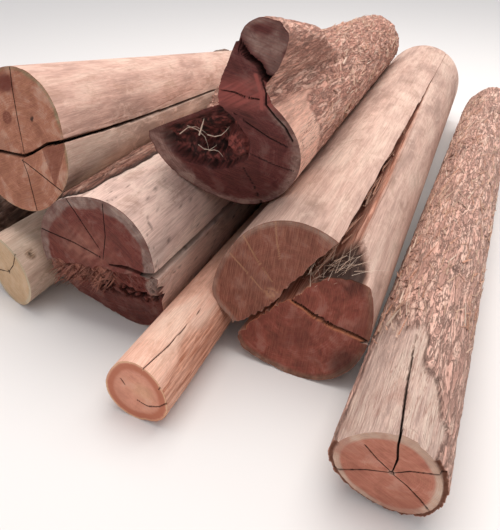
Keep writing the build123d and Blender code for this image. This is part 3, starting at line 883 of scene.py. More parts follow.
        # The cleft's torn wall has the third colour, the sawn end a rim of the second
        grain = hills(47, across / 18.0 + 60.0, s / 300.0)
        skin.third = inner * (0.55 + 0.45 * grain)
        end = skin.on_end
        streaks = 0.6 * rough(48, clock * 4.0, s / 350.0, 2)
        skin.second = np.where(end, ease(30.0, 8.0, edge), streaks)
        if upper:
            # Crumbs of pale wood at the edge of the cleft
            spot = np.hypot((u + 70.0) / 42.0, (v - 22.0) / 24.0)
            crumbs = grains(50, u, v, 8.0)
            skin.third = np.where(end, 0.5 * ease(1.2, 0.5, spot) * ease(0.3, 0.6, crumbs), skin.third)
        else:
            # Painted shadow where the front log lies against it, a burnt patch, the crack's pale lip, painted
            # shade in the open cleft, and a dark grainy crust along the lower rim
            shade = ease(60.0, 0.0, np.hypot(u - 250.0, v + 190.0) - 40.0)
            burnt = ease(75.0, 10.0, np.hypot((u - 220.0) / 1.6, v - 130.0))
            burnt = burnt * grains(51, u, v, 20.0, 1, 50.0)
            skin.dark = np.where(end, np.maximum(0.6 * shade, 0.8 * burnt), 0.0)
            lip, _, side_of = off_path(u, v, cracks[0].path)
            skin.third = np.where(end, 0.85 * ease(13.0, 8.0, lip) * (side_of < 0), skin.third)
            # Painted shade on the cleft's wall near the end, where the cleft lies open
            pit = inner * ease(280.0, 150.0, s) * ease(130.0, 200.0, across)
            skin.dark = np.maximum(skin.dark, 0.93 * pit)
            crust = ease(34.0, 10.0, edge) * ease(-40.0, -140.0, v)
            crust = crust * end * grains(49, u, v, 9.0, 1, 50.0)
            skin.dark = np.maximum(skin.dark, 0.5 * crust)
        # Painted shade in the cracks on the side and on the lower half's end; on the upper half's end the
        # cracks are pale
        for crack in cracks:
            side = crack.on_side(trunk, around, s) * skin.on_side
            skin.dark = np.maximum(skin.dark, side)
            open_end = crack.on_end(u, v, 2.0) * end
            if upper:
                skin.third = np.maximum(skin.third, 0.55 * open_end)
            else:
                skin.dark = np.maximum(skin.dark, open_end)
        # Painted shade deep in the cleft, away from its edge and further along the log
        deep = inner * ease(30.0, 160.0, edge) * ease(100.0, 600.0, s)
        skin.dark = np.maximum(skin.dark, 0.4 * deep)
        return skin.part(0, 1 if upper else 2)

    def build(self, chosen):
        # Eucalypt log debarked and left in the weather: smooth, with grey and cream streaks
        side = long_grain(
            "smooth cream wood", shades_of(chosen.cream_wood, -0.35, -0.1, 0.15, 0.38),
            shades_of("#c4a798", -0.25, 0.05, 0.35), "#d4805f", chosen.shadow, dirt="#8c6f5c",
            dirt_share=0.35,
        )
        # The same log's end under a chain saw: slanting pale marks over a brown heart
        upper = end_grain(
            "brown sawn end", shades_of("#80493b", -0.45, 0.0, 0.12), shades_of("#8e7163", -0.2, 0.0, 0.2),
            "#b98a68", chosen.shadow, "#9f6a54", ring=0.007, saw_angle=94.0, saw_depth=0.6,
        )
        lower = end_grain(
            "red brown sawn end", shades_of("#8c463a", -0.55, -0.05, 0.1),
            shades_of("#8a6552", -0.3, 0.0, 0.15), "#b5714f", chosen.shadow, "#a56a52", ring=0.008,
            saw_angle=94.0,
        )
        parts = [self.half(True, chosen), self.half(False, chosen)]
        thing = make_mesh("split_log_wood", parts, [side, upper, lower])
        settle_piece(thing, "smooth_pale_wood", "split_log")


class AddBarkLog(LogOperator, bpy.types.Operator):
    """Add the front right log in its stringy bark"""

    bl_idname = "mesh.add_bark_log"
    bl_label = "Bark log"

    # The bare patch's outline in clock angles and stations, the pith, and how many millimetres of the
    # side a degree takes
    PATCH = (
        (50.0, -60.0), (40.0, 84.0), (61.0, 173.0), (82.0, 303.0), (84.0, 458.0), (127.0, 541.0),
        (150.0, 690.0), (158.0, 685.0), (165.0, 57.0), (165.0, -60.0),
    )
    PITH = (12.0, 14.0)
    DEGREE = 3.2

    def bare(self, clock, s):
        """1 where the bark has come off near the saw cut, 0 where it is on, with a torn edge."""
        degrees = np.degrees(clock) % 360.0
        turn = clock / (2.0 * math.pi)
        torn = 46.0 * (hills(52, turn * 40, s / 260.0, 40) - 0.5)
        torn = torn + 16.0 * (hills(53, turn * 110, s / 60.0, 110) - 0.5)
        degrees = degrees + 9.0 * (hills(54, turn * 12, s / 70.0, 12) - 0.5)
        s = s + 2.0 * torn
        outline = [(self.DEGREE * angle, station) for angle, station in self.PATCH + self.PATCH[:1]]
        gap, _, _ = off_path(self.DEGREE * degrees, s, outline)
        return ease(-7.0, 7.0, np.where(inside(degrees, s, self.PATCH), gap, -gap))

    def build(self, chosen):
        trunk = TRUNKS["bark_log"]
        cracks = [
            Crack(
                ((12.0, 14.0), (20.0, 80.0), (14.0, 140.0), (16.0, 200.0)), 6.0, 30.0,
                ((-60.0, 85.4), (0.0, 86.0), (231.0, 93.0), (470.0, 98.0)), 8.0, 36.0, 430.0,
            ),
            Crack(((8.0, 12.0), (-60.0, -20.0), (-139.0, -73.0), (-160.0, -84.0)), 3.5, 9.0),
            Crack(((14.0, 14.0), (60.0, 52.0), (123.0, 80.0), (150.0, 96.0)), 3.5, 9.0),
            Crack(((14.0, 10.0), (60.0, -18.0), (103.0, -56.0), (135.0, -92.0)), 4.0, 10.0),
            Crack(((10.0, 16.0), (-35.0, 48.0), (-75.0, 88.0)), 3.0, 8.0),
        ]
        bark = bark_relief(55, 1000.0 * chosen.bark_depth, 34)
        wood = smooth_wood(56, 1000.0 * chosen.wood_depth)

        def relief(clock, s):
            bare = self.bare(clock, s)
            turn = clock / (2.0 * math.pi)
            bands = 1.3 * hills(57, turn * 6, s / 26.0, 6)
            skin = (1.0 - bare) * bark(clock, s) - bare * (15.0 + bands - wood(clock, s))
            chunk = 9.0 * ease(1.0, 0.6, np.hypot(turn_from(clock, 78.0) / 12.0, (s + 8.0) / 36.0)) * bare
            return skin + chunk + cracked_side(cracks, trunk, clock, s)

        def depth(u, v):
            share = np.hypot(u, v) / trunk.radius(np.arctan2(v, u), 0.0 * u)
            around = np.arctan2(v, u) % (2.0 * math.pi)
            step = ease(0.875, 0.895, share + 0.012 * (hills(58, around * 9.0, 0.0 * u) - 0.5))
            crumbs = 4.0 + 12.0 * grains(59, u, v, 9.0, 2)
            bark = step * crumbs * (1.0 - self.bare(around, 0.0 * u))
            return bark + end_relief(60, u, v, 20.0, 1.2) + cracked_depth(cracks, u, v)

        skin = Skin(
            trunk, crowded(330, (87.0, 60.0, 160.0), 4.0, 4.0), stepped(trunk.length, 165), 40, relief, depth,
            middle=fixed(*self.PITH), pith=self.PITH,
        )
        u, v, s, clock = skin.u, skin.v, skin.s, skin.clock
        end = skin.on_end
        # A cream ring and a pale star at the pith, bark round the end, painted shade in furrows and on the
        # torn edge
        around = np.arctan2(v, u) % (2.0 * math.pi)
        share = np.hypot(u, v) / trunk.radius(around, 0.0 * u)
        bare = self.bare(clock, s)
        sap = ease(0.74, 0.8, share + 0.03 * (hills(61, around * 4.0, 0.0 * share) - 0.5))
        skin.second = np.where(end, sap, bare)
        ring = ease(0.875, 0.895, share) * (1.0 - self.bare(around, 0.0 * share))
        star = ease(15.0, 6.0, np.hypot(u - self.PITH[0], v - self.PITH[1])) * 0.8
        skin.third = np.where(end, ring, 0.0)
        skin.second = np.where(end, np.maximum(skin.second, star), skin.second)
        # Painted shade in the bark's furrows, and painted shadow along the torn edge of the bare patch
        furrow = ease(-6.5, -10.0, bark(clock, s)) * (1.0 - bare)
        torn = ease(0.02, 0.3, bare) * ease(0.98, 0.5, bare)
        skin.dark = np.where(end, 0.0, np.maximum(0.7 * furrow, 0.6 * torn))
        darken_cracks(skin, cracks)
        # Stringy bark of a eucalypt: pink outside, orange where strips have torn, rough and matt
        side = long_grain(
            "pink stringy bark", shades_of(chosen.pink_bark, -0.5, -0.12, 0.15, 0.42),
            shades_of("#d0b0a2", -0.25, 0.08, 0.4), "#8a4a35", chosen.shadow, 1.5, "#a87562",
            bump=0.016, checks=0.8, streaky=1.0, flakes=0.9,
        )
        # Fresh cut: orange heart in a cream ring, with the dark bark round it
        end_wood = end_grain(
            "orange sawn end", shades_of("#b86d59", -0.3, 0.03, 0.2),
            shades_of(chosen.sapwood, -0.15, 0.05, 0.3), "#6f4433", chosen.shadow, "#d39a78", saw_angle=25.0,
        )
        thing = make_mesh("bark_log_wood", [skin.part()], [side, end_wood])
        settle_piece(thing, "stringy_bark", "bark_log")


class AddSmallOrangeLog(LogOperator, bpy.types.Operator):
    """Add the small freshly peeled log in the middle"""

    bl_idname = "mesh.add_small_orange_log"
    bl_label = "Small orange log"

    def build(self, chosen):
        trunk = TRUNKS["small_orange_log"]
        cracks = [
            Crack(((0.0, -34.0), (45.0, -44.0), (95.0, -22.0), (134.0, 14.0)), 3.5, 8.0),
            Crack(((-45.0, 17.0), (-62.0, 42.0)), 2.5, 5.0),
            Crack(
                ((100.0, 60.0), (112.0, 80.0)), 2.5, 5.0,
                ((-20.0, 72.0), (17.0, 70.0), (130.0, 64.0), (420.0, 60.0)), 5.0, 7.0, 430.0,
            ),
        ]
        wood = smooth_wood(63, 800.0 * chosen.wood_depth)
        peel = bark_relief(64, 700.0 * chosen.bark_depth, 22)

        def peeled(clock, s):
            """1 where fibres of the inner bark still hang on the right flank."""
            turn = clock / (2.0 * math.pi)
            edge = 44.0 + 26.0 * (hills(65, turn * 9, s / 110.0, 9) - 0.5)
            return ease(8.0, -8.0, np.abs(turn_from(clock, edge - 60.0)) - 60.0)

        def relief(clock, s):
            held = peeled(clock, s)
            side = (1.0 - held) * wood(clock, s) + held * peel(clock, s)
            return side + cracked_side(cracks, trunk, clock, s)

        def depth(u, v):
            return end_relief(66, u, v, 70.0, 1.0) + cracked_depth(cracks, u, v)

        skin = Skin(
            trunk, crowded(210, (70.0,), 5.0, 3.0), stepped(trunk.length, 110), 30, relief, depth,
            pith=(28.0, 12.0),
        )
        u, v, s, clock = skin.u, skin.v, skin.s, skin.clock
        end = skin.on_end
        # A cream rim outside an orange ring, a pale spot at the pith, and the threads on the flank
        held = peeled(clock, s)
        skin.second = np.where(end, ease(0.93, 0.98, skin.share), 0.25 * rough(67, clock * 3, s / 200.0, 2))
        ring = ease(0.66, 0.8, skin.share) * ease(0.97, 0.9, skin.share)
        skin.third = np.where(end, 0.8 * ring, held * (0.55 + 0.45 * hills(68, clock * 9, s / 70.0)))
        spot = np.hypot((u - 28.0) / 46.0, (v - 14.0) / 38.0)
        skin.second = np.maximum(skin.second, np.where(end, 0.3 * ease(1.5, 0.3, spot), 0.0))
        darken_cracks(skin, cracks)
        # Peeled green: cream under the bark, with orange inner bark in threads
        side = long_grain(
            "peeled orange wood", shades_of(chosen.orange_wood, -0.3, -0.06, 0.2, 0.45),
            shades_of("#c9a78a", -0.1, 0.15, 0.4), "#d5835f", chosen.shadow, 1.6, "#a5694a", 0.3,
        )
        # Just cut and still wet: bright orange, paler by the bark, with fine marks of the saw
        end_wood = end_grain(
            "fresh sawn end", shades_of("#d89078", -0.2, 0.05, 0.2), shades_of("#e2bd92", -0.05, 0.1, 0.3),
            "#b0654a", chosen.shadow, "#e0a880", ring=0.005, saw_angle=20.0, bump=0.0012,
        )
        thing = make_mesh("small_orange_log_wood", [skin.part()], [side, end_wood])
        settle_piece(thing, "fresh_orange_wood", "small_orange_log")


class AddCrackedLog(LogOperator, bpy.types.Operator):
    """Add the grey log with the torn hinge, and the fibres that stand out of it"""

    bl_idname = "mesh.add_cracked_log"
    bl_label = "Cracked log"

    # Height and slope of the line on the section where the saw cut ends and the torn hinge begins
    HINGE = (-8.0, 0.17)

    def hinge(self, u, v):
        """How far below the lower edge of the saw cut a point lies, the cut's edge being ragged."""
        edge = self.HINGE[0] + self.HINGE[1] * u
        return edge + 34.0 * (rough(81, u / 40.0 + 50.0, 0.0 * u, 3) - 0.5) - v

    def build(self, chosen):
        trunk = TRUNKS["cracked_log"]
        cracks = [
            Crack(((21.0, 86.0), (-40.0, 165.0), (-97.0, 239.0), (-125.0, 275.0)), 4.0, 10.0),
            Crack(((40.0, 46.0), (-120.0, 75.0), (-285.0, 86.0), (-315.0, 90.0)), 5.0, 12.0),
            Crack(
                ((60.0, 30.0), (150.0, 45.0), (240.0, 42.0), (330.0, 55.0)), 17.0, 130.0,
                ((-60.0, 10.0), (0.0, 9.0), (435.0, 6.5), (1500.0, 5.0)), 40.0, 75.0, 1500.0,
            ),
            Crack(((27.0, 40.0), (60.0, 160.0), (70.0, 300.0)), 3.0, 7.0),
        ]

        def depth(u, v):
            below = self.hinge(u, v)
            # Torn fibres under the saw cut, the felling notch under them, and pits between, which hold
            # painted shadow
            torn = ease(0.0, 10.0, below)
            fibre = 6.0 + 26.0 * rough(82, (u + 1.4 * v) / 10.0 + 90.0, (u - v) / 60.0 + 90.0, 3)
            notch = ease(80.0, 112.0, below + 26.0 * (rough(83, u / 22.0 + 60.0, v / 30.0 + 60.0, 2) - 0.5))
            slope = 24.0 + 71.0 * np.clip((below - 95.0) / 200.0, 0.0, 1.0)
            pits = ease(60.0, 85.0, below) * ease(170.0, 120.0, below) * ease(-110.0, -40.0, u)
            pits = 46.0 * pits * ease(0.42, 0.7, grains(84, u, v, 17.0, 3, 70.0))
            arcs = 2.5 * ridge(hills(85, np.hypot(u - 20.0, v - 40.0) / 12.0, 0.0 * u))
            sunk = torn * ((1.0 - notch) * fibre + notch * (slope + arcs)) + pits
            return sunk + end_relief(86, u, v, 35.0) * (1.0 - torn) + cracked_depth(cracks, u, v)

        wood = smooth_wood(87, 1300.0 * chosen.wood_depth)

        def relief(clock, s):
            turn = clock / (2.0 * math.pi)
            scar = ease(0.6, 0.75, rough(88, turn * 7, s / 90.0, 4, 7))
            return wood(clock, s) - 2.5 * scar + cracked_side(cracks, trunk, clock, s)

        skin = Skin(
            trunk, crowded(350, (9.0, 115.0, 164.0, 76.0), 3.5, 5.0), stepped(trunk.length, 140), 62,
            relief, depth, middle=fixed(20.0, 20.0), pith=(27.0, 33.0),
        )
        u, v, s, clock = skin.u, skin.v, skin.s, skin.clock
        end = skin.on_end
        around = np.arctan2(v, u)
        edge = trunk.radius(around, s) - np.hypot(u, v)
        below = self.hinge(u, v)
        # A broad grey rim, fibres and an orange glow over the pith, painted shadow in pits, and specks on the
        # side
        rim = ease(56.0, 40.0, edge + 34.0 * (rough(89, clock * 5, 0.0 * u, 4) - 0.5))
        rim = 0.9 * rim * ease(150.0, 60.0, below)
        whitish = 0.9 * ease(0.45, 0.7, rough(90, clock * 2.2, s / 260.0, 3))
        skin.second = np.where(end, rim, whitish)
        fibre = ease(0.0, 14.0, below) * ease(110.0, 78.0, below) * ease(110.0, 20.0, u)
        lines = hills(91, (u + 1.3 * v) / 8.0 + 90.0, (u - v) / 70.0 + 90.0)
        glow = ease(150.0, 20.0, np.hypot((u + 60.0) / 1.5, v - 70.0)) * (1.0 - rim)
        glow = 0.45 * glow * hills(98, (u + v) / 60.0 + 60.0, (u - v) / 16.0 + 60.0)
        skin.third = np.where(end, np.maximum(glow, 0.9 * fibre * ease(0.25, 0.6, lines)), 0.0)
        # Painted shadow in the pits under the torn fibres; the notch darker further down
        pits = ease(56.0, 84.0, below) * ease(175.0, 120.0, below) * ease(-120.0, -20.0, u)
        pits = pits * ease(0.4, 0.62, grains(84, u, v, 17.0, 3, 70.0))
        skin.dark = np.where(end, np.maximum(0.95 * pits, 0.3 * ease(90.0, 150.0, below)), 0.0)
        specks = ease(0.86, 0.93, hills(92, clock * 23, s / 14.0))
        skin.dark = np.maximum(skin.dark, np.where(skin.on_side, 0.6 * specks, 0.0))
        darken_cracks(skin, cracks)
        # Long dead wood: silver grey with whitish patches
        side = long_grain(
            "grey weathered wood", shades_of(chosen.grey_wood, -0.4, -0.12, 0.12, 0.35),
            shades_of("#c4aea3", -0.2, 0.1, 0.42), "#9a5a40", chosen.shadow, 1.2, "#7c5c4a", 0.45, 0.0025,
        )
        # Its sawn heart is still dark red, under grey dirt at the rim
        end_wood = end_grain(
            "dark red sawn end", shades_of(chosen.dark_heartwood, -0.5, 0.0, 0.1),
            shades_of("#8f7b72", -0.35, 0.0, 0.25), "#b47a66", chosen.shadow, "#8d4f3f", 0.008, 35.0, 0.4,
            0.003, "#4a1f1b",
        )
        rng = np.random.default_rng(93)
        parts = [skin.part()]
        for _ in range(chosen.splinters):
            u = rng.uniform(-270.0, 70.0)
            v = self.HINGE[0] + self.HINGE[1] * u - rng.uniform(2.0, 88.0)
            s = float(trunk.sawn(u, v)) + rng.uniform(4.0, 22.0)
            long = rng.uniform(25.0, 85.0)
            way = np.array([-0.62, -0.55, -0.35]) + rng.normal(0.0, 0.25, 3)
            way = long * way / np.linalg.norm(way)
            start = trunk.place(u, v, s)
            end_point = trunk.place(u + way[0], v + way[1], s + way[2])
            tone = np.array([rng.uniform(0.0, 0.5), 0.0, rng.uniform(0.2, 1.0)])
            points, faces, slots, wood_place, tones = sliver(
                start, end_point, rng.uniform(0.003, 0.012), rng.uniform(0.001, 0.003),
                rng.normal(0.0, 0.004), 0.001 * np.array([u, v, s]), tone,
            )
            parts.append((points, faces, slots + 1, wood_place, tones))
        thing = make_mesh("cracked_log_wood", parts, [side, end_wood])
        settle_piece(thing, "grey_weathered_wood", "cracked_log")


class AddBarkSlab(LogOperator, bpy.types.Operator):
    """Add the loose slab of bark that lies on the cracked log"""

    bl_idname = "mesh.add_bark_slab"
    bl_label = "Loose bark slab"

    def build(self, chosen):
        trunk = TRUNKS["cracked_log"]
        # The slab is two sheets of points, over and under, torn at both sides and both ends
        across, along = 46, 150
        share = np.linspace(0.0, 1.0, along)[:, None]
        turn = np.linspace(0.0, 1.0, across)[None, :]
        low = np.interp(share, (0.0, 0.33, 0.67, 1.0), (99.0, 90.0, 80.0, 76.0))
        high = np.interp(share, (0.0, 0.33, 0.67, 1.0), (123.0, 121.0, 119.0, 112.0))
        torn = 5.0 * (rough(101, share * 14.0, 0.0 * share, 3) - 0.5)
        end_torn = 60.0 * (rough(102, turn * 9.0, 0.0 * turn, 3) - 0.7)
        clock = np.radians(low + torn + (high - low) * turn)
        s = 24.0 + 1040.0 * share + end_torn * (ease(0.08, 0.0, share) * -0.5 + ease(0.85, 1.0, share))
        thread = ridge(hills(103, turn * 13.0 + 1.2 * hills(104, turn * 3.0, share * 8.0), share * 7.0))
        lumps = rough(105, turn * 5.0, share * 12.0, 3)
        lip = np.minimum(1.0, 9.0 * np.minimum(turn, 1.0 - turn))
        lip = lip * np.minimum(1.0, 60.0 * np.minimum(share, 1.0 - share))
        top = 1.5 + lip * (13.0 - 5.0 * (1.0 - thread) - 6.0 * lumps * (1.0 - thread ** 2))
        under = 0.9 + 0.0 * top
        radius = trunk.radius(clock, s)
        points = []
        for grow in (top, under):
            reach = radius + grow
            points.append(trunk.place(reach * np.cos(clock), reach * np.sin(clock), s))
        number = np.arange(along * across).reshape(along, across)
        faces = []
        for shift, way in ((0, 1), (along * across, -1)):
            sheet = number + shift
            quads = np.stack([sheet[:-1, :-1], sheet[:-1, 1:], sheet[1:, 1:], sheet[1:, :-1]], axis=-1)
            faces += quads.reshape(-1, 4)[:, ::way].tolist()
        border = np.concatenate([number[0, :-1], number[:-1, -1], number[-1, :0:-1], number[:0:-1, 0]])
        below = border + along * across
        for index in range(len(border)):
            after = (index + 1) % len(border)
            faces.append([border[after], border[index], below[index], below[after]])
        wood = 0.001 * np.stack([radius * np.cos(clock), radius * np.sin(clock), s], axis=-1).reshape(-1, 3)
        # Painted shade in the grooves between threads and along the slab's thin edges, where it lies on the
        # log
        dark = 0.85 * (1.0 - thread ** 0.7) + 0.7 * (1.0 - lip)
        tone = np.stack([np.clip(dark, 0.0, 0.8), 0.4 * lumps, 0.0 * lumps], axis=-1).reshape(-1, 3)
        part = (
            np.concatenate([points[0].reshape(-1, 3), points[1].reshape(-1, 3)]), faces, np.zeros(len(faces)),
            np.concatenate([wood, wood]), np.concatenate([tone, tone]),
        )
        # A strip of inner bark, torn off and dried: orange threads
        bark = long_grain(
            "torn orange bark", shades_of("#94604e", -0.5, -0.12, 0.1, 0.25),
            shades_of("#a8796a", -0.2, 0.1, 0.3), "#7c4a34", chosen.shadow, 1.6, "#6b3f2e",
            bump=0.012, checks=0.9, streaky=1.0, flakes=0.8,
        )
        thing = make_mesh("loose_bark_slab_bark", [part], [bark])
        settle_piece(thing, "stringy_bark", "loose_bark_slab")


class AddOuterLogs(LogOperator, bpy.types.Operator):
    """Add the pale log at the corner and the brown one behind it"""

    bl_idname = "mesh.add_outer_logs"
    bl_label = "Outer logs"

    # Clock angle and station of the knot on the pale log
    KNOT = (41.0, 25.0)

    def build(self, chosen):
        # Barkless wood, dried and dirty, and its end, sawn long ago
        pale = long_grain(
            "pale corner wood", shades_of("#dcb8a2", -0.35, -0.08, 0.15, 0.4),
            shades_of("#a99684", -0.2, 0.1, 0.3), "#9a7658", chosen.shadow, 1.2, "#8f785e",
        )
        pale_end = end_grain(
            "pale sawn end", shades_of("#c49c74", -0.15, 0.05, 0.2), shades_of("#b5a488", -0.1, 0.1, 0.3),
            "#8a6648", chosen.shadow, None, saw_depth=0.5,
        )
        # Old bark in dark furrows, and the brown end within it
        brown = long_grain(
            "brown bark", shades_of(chosen.brown_bark, -0.5, -0.15, 0.1, 0.28),
            shades_of("#7d6252", -0.2, 0.1, 0.25), "#5a3426", chosen.shadow, 1.2, "#3f2a22", 0.5, 0.012,
            checks=0.8, streaky=1.0, flakes=0.9,
        )
        brown_end = end_grain(
            "brown back end", shades_of("#9c6a4c", -0.3, 0.0, 0.15), shades_of("#a58468", -0.2, 0.0, 0.2),
            "#5a3426", chosen.shadow, None, saw_depth=0.5,
        )
        cracks = [
            Crack(((0.0, 0.0), (60.0, 60.0), (120.0, 160.0)), 3.5, 9.0),
            Crack(((0.0, 0.0), (-90.0, -30.0), (-160.0, -80.0)), 3.5, 9.0),
        ]
        for name, slot, side, end_wood, seed, barky in (
            ("pale_corner_log", "smooth_pale_wood", pale, pale_end, 111, False),
            ("brown_back_log", "brown_bark", brown, brown_end, 117, True),
        ):
            trunk = TRUNKS[name]
            wood = smooth_wood(seed, 900.0 * chosen.wood_depth)
            bark = bark_relief(seed, 1300.0 * chosen.bark_depth, 24)

            def from_knot(clock, s, trunk=trunk):
                """How far a place on the side is from the knot."""
                away = turn_from(clock, self.KNOT[0]) * trunk.radii[0] * math.pi / 180.0
                return np.hypot(away, s - self.KNOT[1])

            def relief(clock, s, wood=wood, bark=bark, barky=barky, from_knot=from_knot):
                if barky:
                    return bark(clock, s)
                return wood(clock, s) - 5.0 * ease(1.0, 0.2, from_knot(clock, s) / 20.0)

            def depth(u, v, seed=seed):
                return end_relief(seed, u, v, 30.0) + cracked_depth(cracks, u, v)

            skin = Skin(trunk, crowded(170, (41.0,), 8.0, 2.0), stepped(trunk.length, 95), 22, relief, depth)
            s, clock, end = skin.s, skin.clock, skin.on_end
            streaks = rough(seed + 5, clock * 3, s / 300.0, 3)
            skin.second = np.where(end, ease(0.86, 0.95, skin.share), streaks)
            if barky:
                skin.third = np.where(end, ease(0.92, 0.94, skin.share), 0.0)
                # Painted shade in the bark's furrows
                skin.dark = np.where(end, 0.0, 0.5 * ease(-6.0, -9.0, bark(clock, s)))
            else:
                knot = from_knot(clock, s)
                skin.third = np.where(end, 0.0, ease(34.0, 16.0, knot))
                skin.dark = np.where(end, 0.0, 0.6 * ease(14.0, 5.0, knot))
            darken_cracks(skin, cracks)
            thing = make_mesh(name + "_wood", [skin.part()], [side, end_wood])
            settle_piece(thing, slot, name)


class AddForkedLog(LogOperator, bpy.types.Operator):
    """Add the forked log on top, its trunk hollowed by rot and its side stem cut with it"""

    bl_idname = "mesh.add_forked_log"
    bl_label = "Forked log"

    # On the section: the side stem's outline at the cut, and the place that it shrinks to further back;
    # then the seam between stem and trunk, and the rotted hollow's outline
    STEM = (
        (30.0, 150.0), (28.0, 250.0), (110.0, 385.0), (160.0, 462.0), (222.0, 492.0), (280.0, 474.0),
        (298.0, 430.0), (252.0, 332.0), (208.0, 270.0), (225.0, 150.0),
    )
    ROOT = np.array([100.0, 60.0])
    SEAM = (
        (122.0, 432.0), (152.0, 368.0), (188.0, 337.0), (201.0, 296.0), (233.0, 284.0), (275.0, 310.0),
        (290.0, 380.0),
    )
    HOLLOW = (
        (-238.0, -40.0), (-252.0, 30.0), (-200.0, 66.0), (-120.0, 104.0), (-20.0, 148.0), (20.0, 175.0),
        (70.0, 120.0), (110.0, 40.0), (90.0, -40.0), (20.0, -95.0), (-60.0, -120.0), (-170.0, -100.0),
    )
    # The broken wall's top rises so much to a step across, and such a step has this length
    WALL_SLOPE = 0.46
    WALL_RUN = 1.1007

    def middle(self, s):
        """The rows' middle, which goes from between trunk and stem to the axis in 1.15 m."""
        back = ease(0.0, 1150.0, s)
        return 100.0 * (1.0 - back), 150.0 * (1.0 - back)

    def section(self, clock, s):
        """The trunk with the side stem grown on to it, and the wall by the hollow broken away."""
        trunk = TRUNKS["forked_log"]
        from_u, from_v = self.middle(s)
        way_u = np.cos(clock)
        way_v = np.sin(clock)
        reach = trunk.reach_from(from_u, from_v, clock, s)
        lift = -0.08 * (s + 75.0) + 400.0 * ease(420.0, 700.0, s)
        rise = (way_v - self.WALL_SLOPE * way_u) / self.WALL_RUN
        level = (174.0 + lift + self.WALL_SLOPE * from_u - from_v) / self.WALL_RUN
        wall = np.where(rise > 0.02, level / np.maximum(rise, 0.02), 1e6)
        reach = np.minimum(reach, np.maximum(wall, 20.0))
        share = np.interp(s, (-190.0, 400.0, 800.0, 1250.0), (1.0, 0.8, 0.5, 0.15))
        stem = 0.0 * reach
        outline = rounded(self.STEM, 4)
        for (u0, v0), (u1, v1) in zip(outline, (*outline[1:], outline[0])):
            start_u = self.ROOT[0] + share * (u0 - self.ROOT[0]) - from_u
            start_v = self.ROOT[1] + share * (v0 - self.ROOT[1]) - from_v
            run_u = share * (u1 - u0)
            run_v = share * (v1 - v0)
            cross = way_u * run_v - way_v * run_u
            cross = np.where(np.abs(cross) < 1e-6, 1e-6, cross)
            hit = (start_u * run_v - start_v * run_u) / cross
            place = (start_u * way_v - start_v * way_u) / cross
            stem = np.where((place >= 0.0) & (place <= 1.0) & (hit > stem), hit, stem)
        soft = 70.0 * ease(150.0, 800.0, s)
        reach = np.where(stem > 0.0, 0.5 * (reach + stem + np.hypot(reach - stem, soft)) - 0.25 * soft, reach)
        return from_u + reach * way_u, from_v + reach * way_v

    def build(self, chosen):
        trunk = TRUNKS["forked_log"]
        cracks = [
            Crack(
                (
                    (192.0, 288.0), (200.0, 240.0), (193.0, 195.0), (222.0, 150.0), (252.0, 112.0),
                    (272.0, 60.0),
                ),
                8.0, 14.0,
            ),
            Crack(((40.0, 236.0), (88.0, 232.0), (128.0, 216.0), (172.0, 214.0)), 4.0, 9.0),
            Crack(((100.0, -20.0), (190.0, -60.0), (262.0, -78.0)), 3.0, 8.0),
            Crack(((70.0, 150.0), (120.0, 110.0), (190.0, 60.0), (250.0, 30.0)), 4.0, 8.0),
            Crack(((60.0, -90.0), (90.0, -180.0), (110.0, -280.0)), 3.5, 9.0),
        ]

        def hollow(u, v):
            """How far a point lies within the hollow's ragged outline, below 0 outside it."""
            gap, _, _ = off_path(u, v, self.HOLLOW + self.HOLLOW[:1])
            gap = np.where(inside(u, v, self.HOLLOW), gap, -gap)
            return gap + 12.0 * (grains(121, u, v, 24.0, 3, 50.0) - 0.5)

        def depth(u, v):
            within = hollow(u, v)
            floor = 60.0 + 100.0 * ease(30.0, 110.0, within) + 40.0 * (grains(122, u, v, 26.0, 4) - 0.5)
            lump = ease(75.0, 30.0, np.hypot(u - 35.0, v - 5.0))
            floor = floor * (1.0 - 0.8 * lump) + 40.0 * lump * grains(123, u, v, 11.0)
            rotten = ease(-2.0, 16.0, within) * floor
            gap, along, side = off_path(u, v, self.SEAM)
            seam = 120.0 * ease(1.0, 0.4, gap / (6.0 + 6.0 * along))
            lobe = (4.0 + 16.0 * grains(138, u, v, 34.0, 4)) * ease(-12.0, 12.0, side * gap) * (v > 280.0)
            return rotten + seam + lobe + end_relief(124, u, v, 60.0, 2.2) + cracked_depth(cracks, u, v)

        bark = bark_relief(125, 1200.0 * chosen.bark_depth, 46)

        def patched(clock, s):
            """1 where the trunk is barkless near its end."""
            turn = clock / (2.0 * math.pi)
            edge = 330.0 + 240.0 * (rough(126, turn * 9, 0.0 * s, 3, 9) - 0.5)
            edge = edge + 90.0 * (hills(127, turn * 60, s / 90.0, 60) - 0.5)
            return ease(30.0, -30.0, s - edge) * ease(62.0, 40.0, np.abs(turn_from(clock, -30.0)))

        def relief(clock, s):
            held = patched(clock, s)
            turn = clock / (2.0 * math.pi)
            smooth = -3.0 - 5.0 * rough(128, turn * 14, s / 140.0, 3, 14)
            return (1.0 - held) * bark(clock, s) + held * smooth

        skin = Skin(
            trunk, crowded(380, (62.0, 48.0, 125.0, 175.0), 6.0, 2.5), stepped(trunk.length, 135), 64, relief,
            depth, self.section, self.middle, (30.0, 10.0),
        )
        u, v, s, clock = skin.u, skin.v, skin.s, skin.clock
        end = skin.on_end
        # Painted shade in the seam, rot and painted shade in the hollow, a lighter lump and tan chips, a grey
        # rim and upper stem, the orange neck between stem and trunk, and painted shade in the bark's furrows
        within = hollow(u, v)
        gap, along, side = off_path(u, v, self.SEAM)
        seam = ease(1.0, 0.5, gap / (7.0 + 7.0 * along))
        crumb = grains(129, u, v, 11.0, 4)
        lump = ease(82.0, 40.0, np.hypot(u - 35.0, v - 5.0))
        pit = ease(-4.0, 14.0, within) * (1.0 - 0.75 * lump)
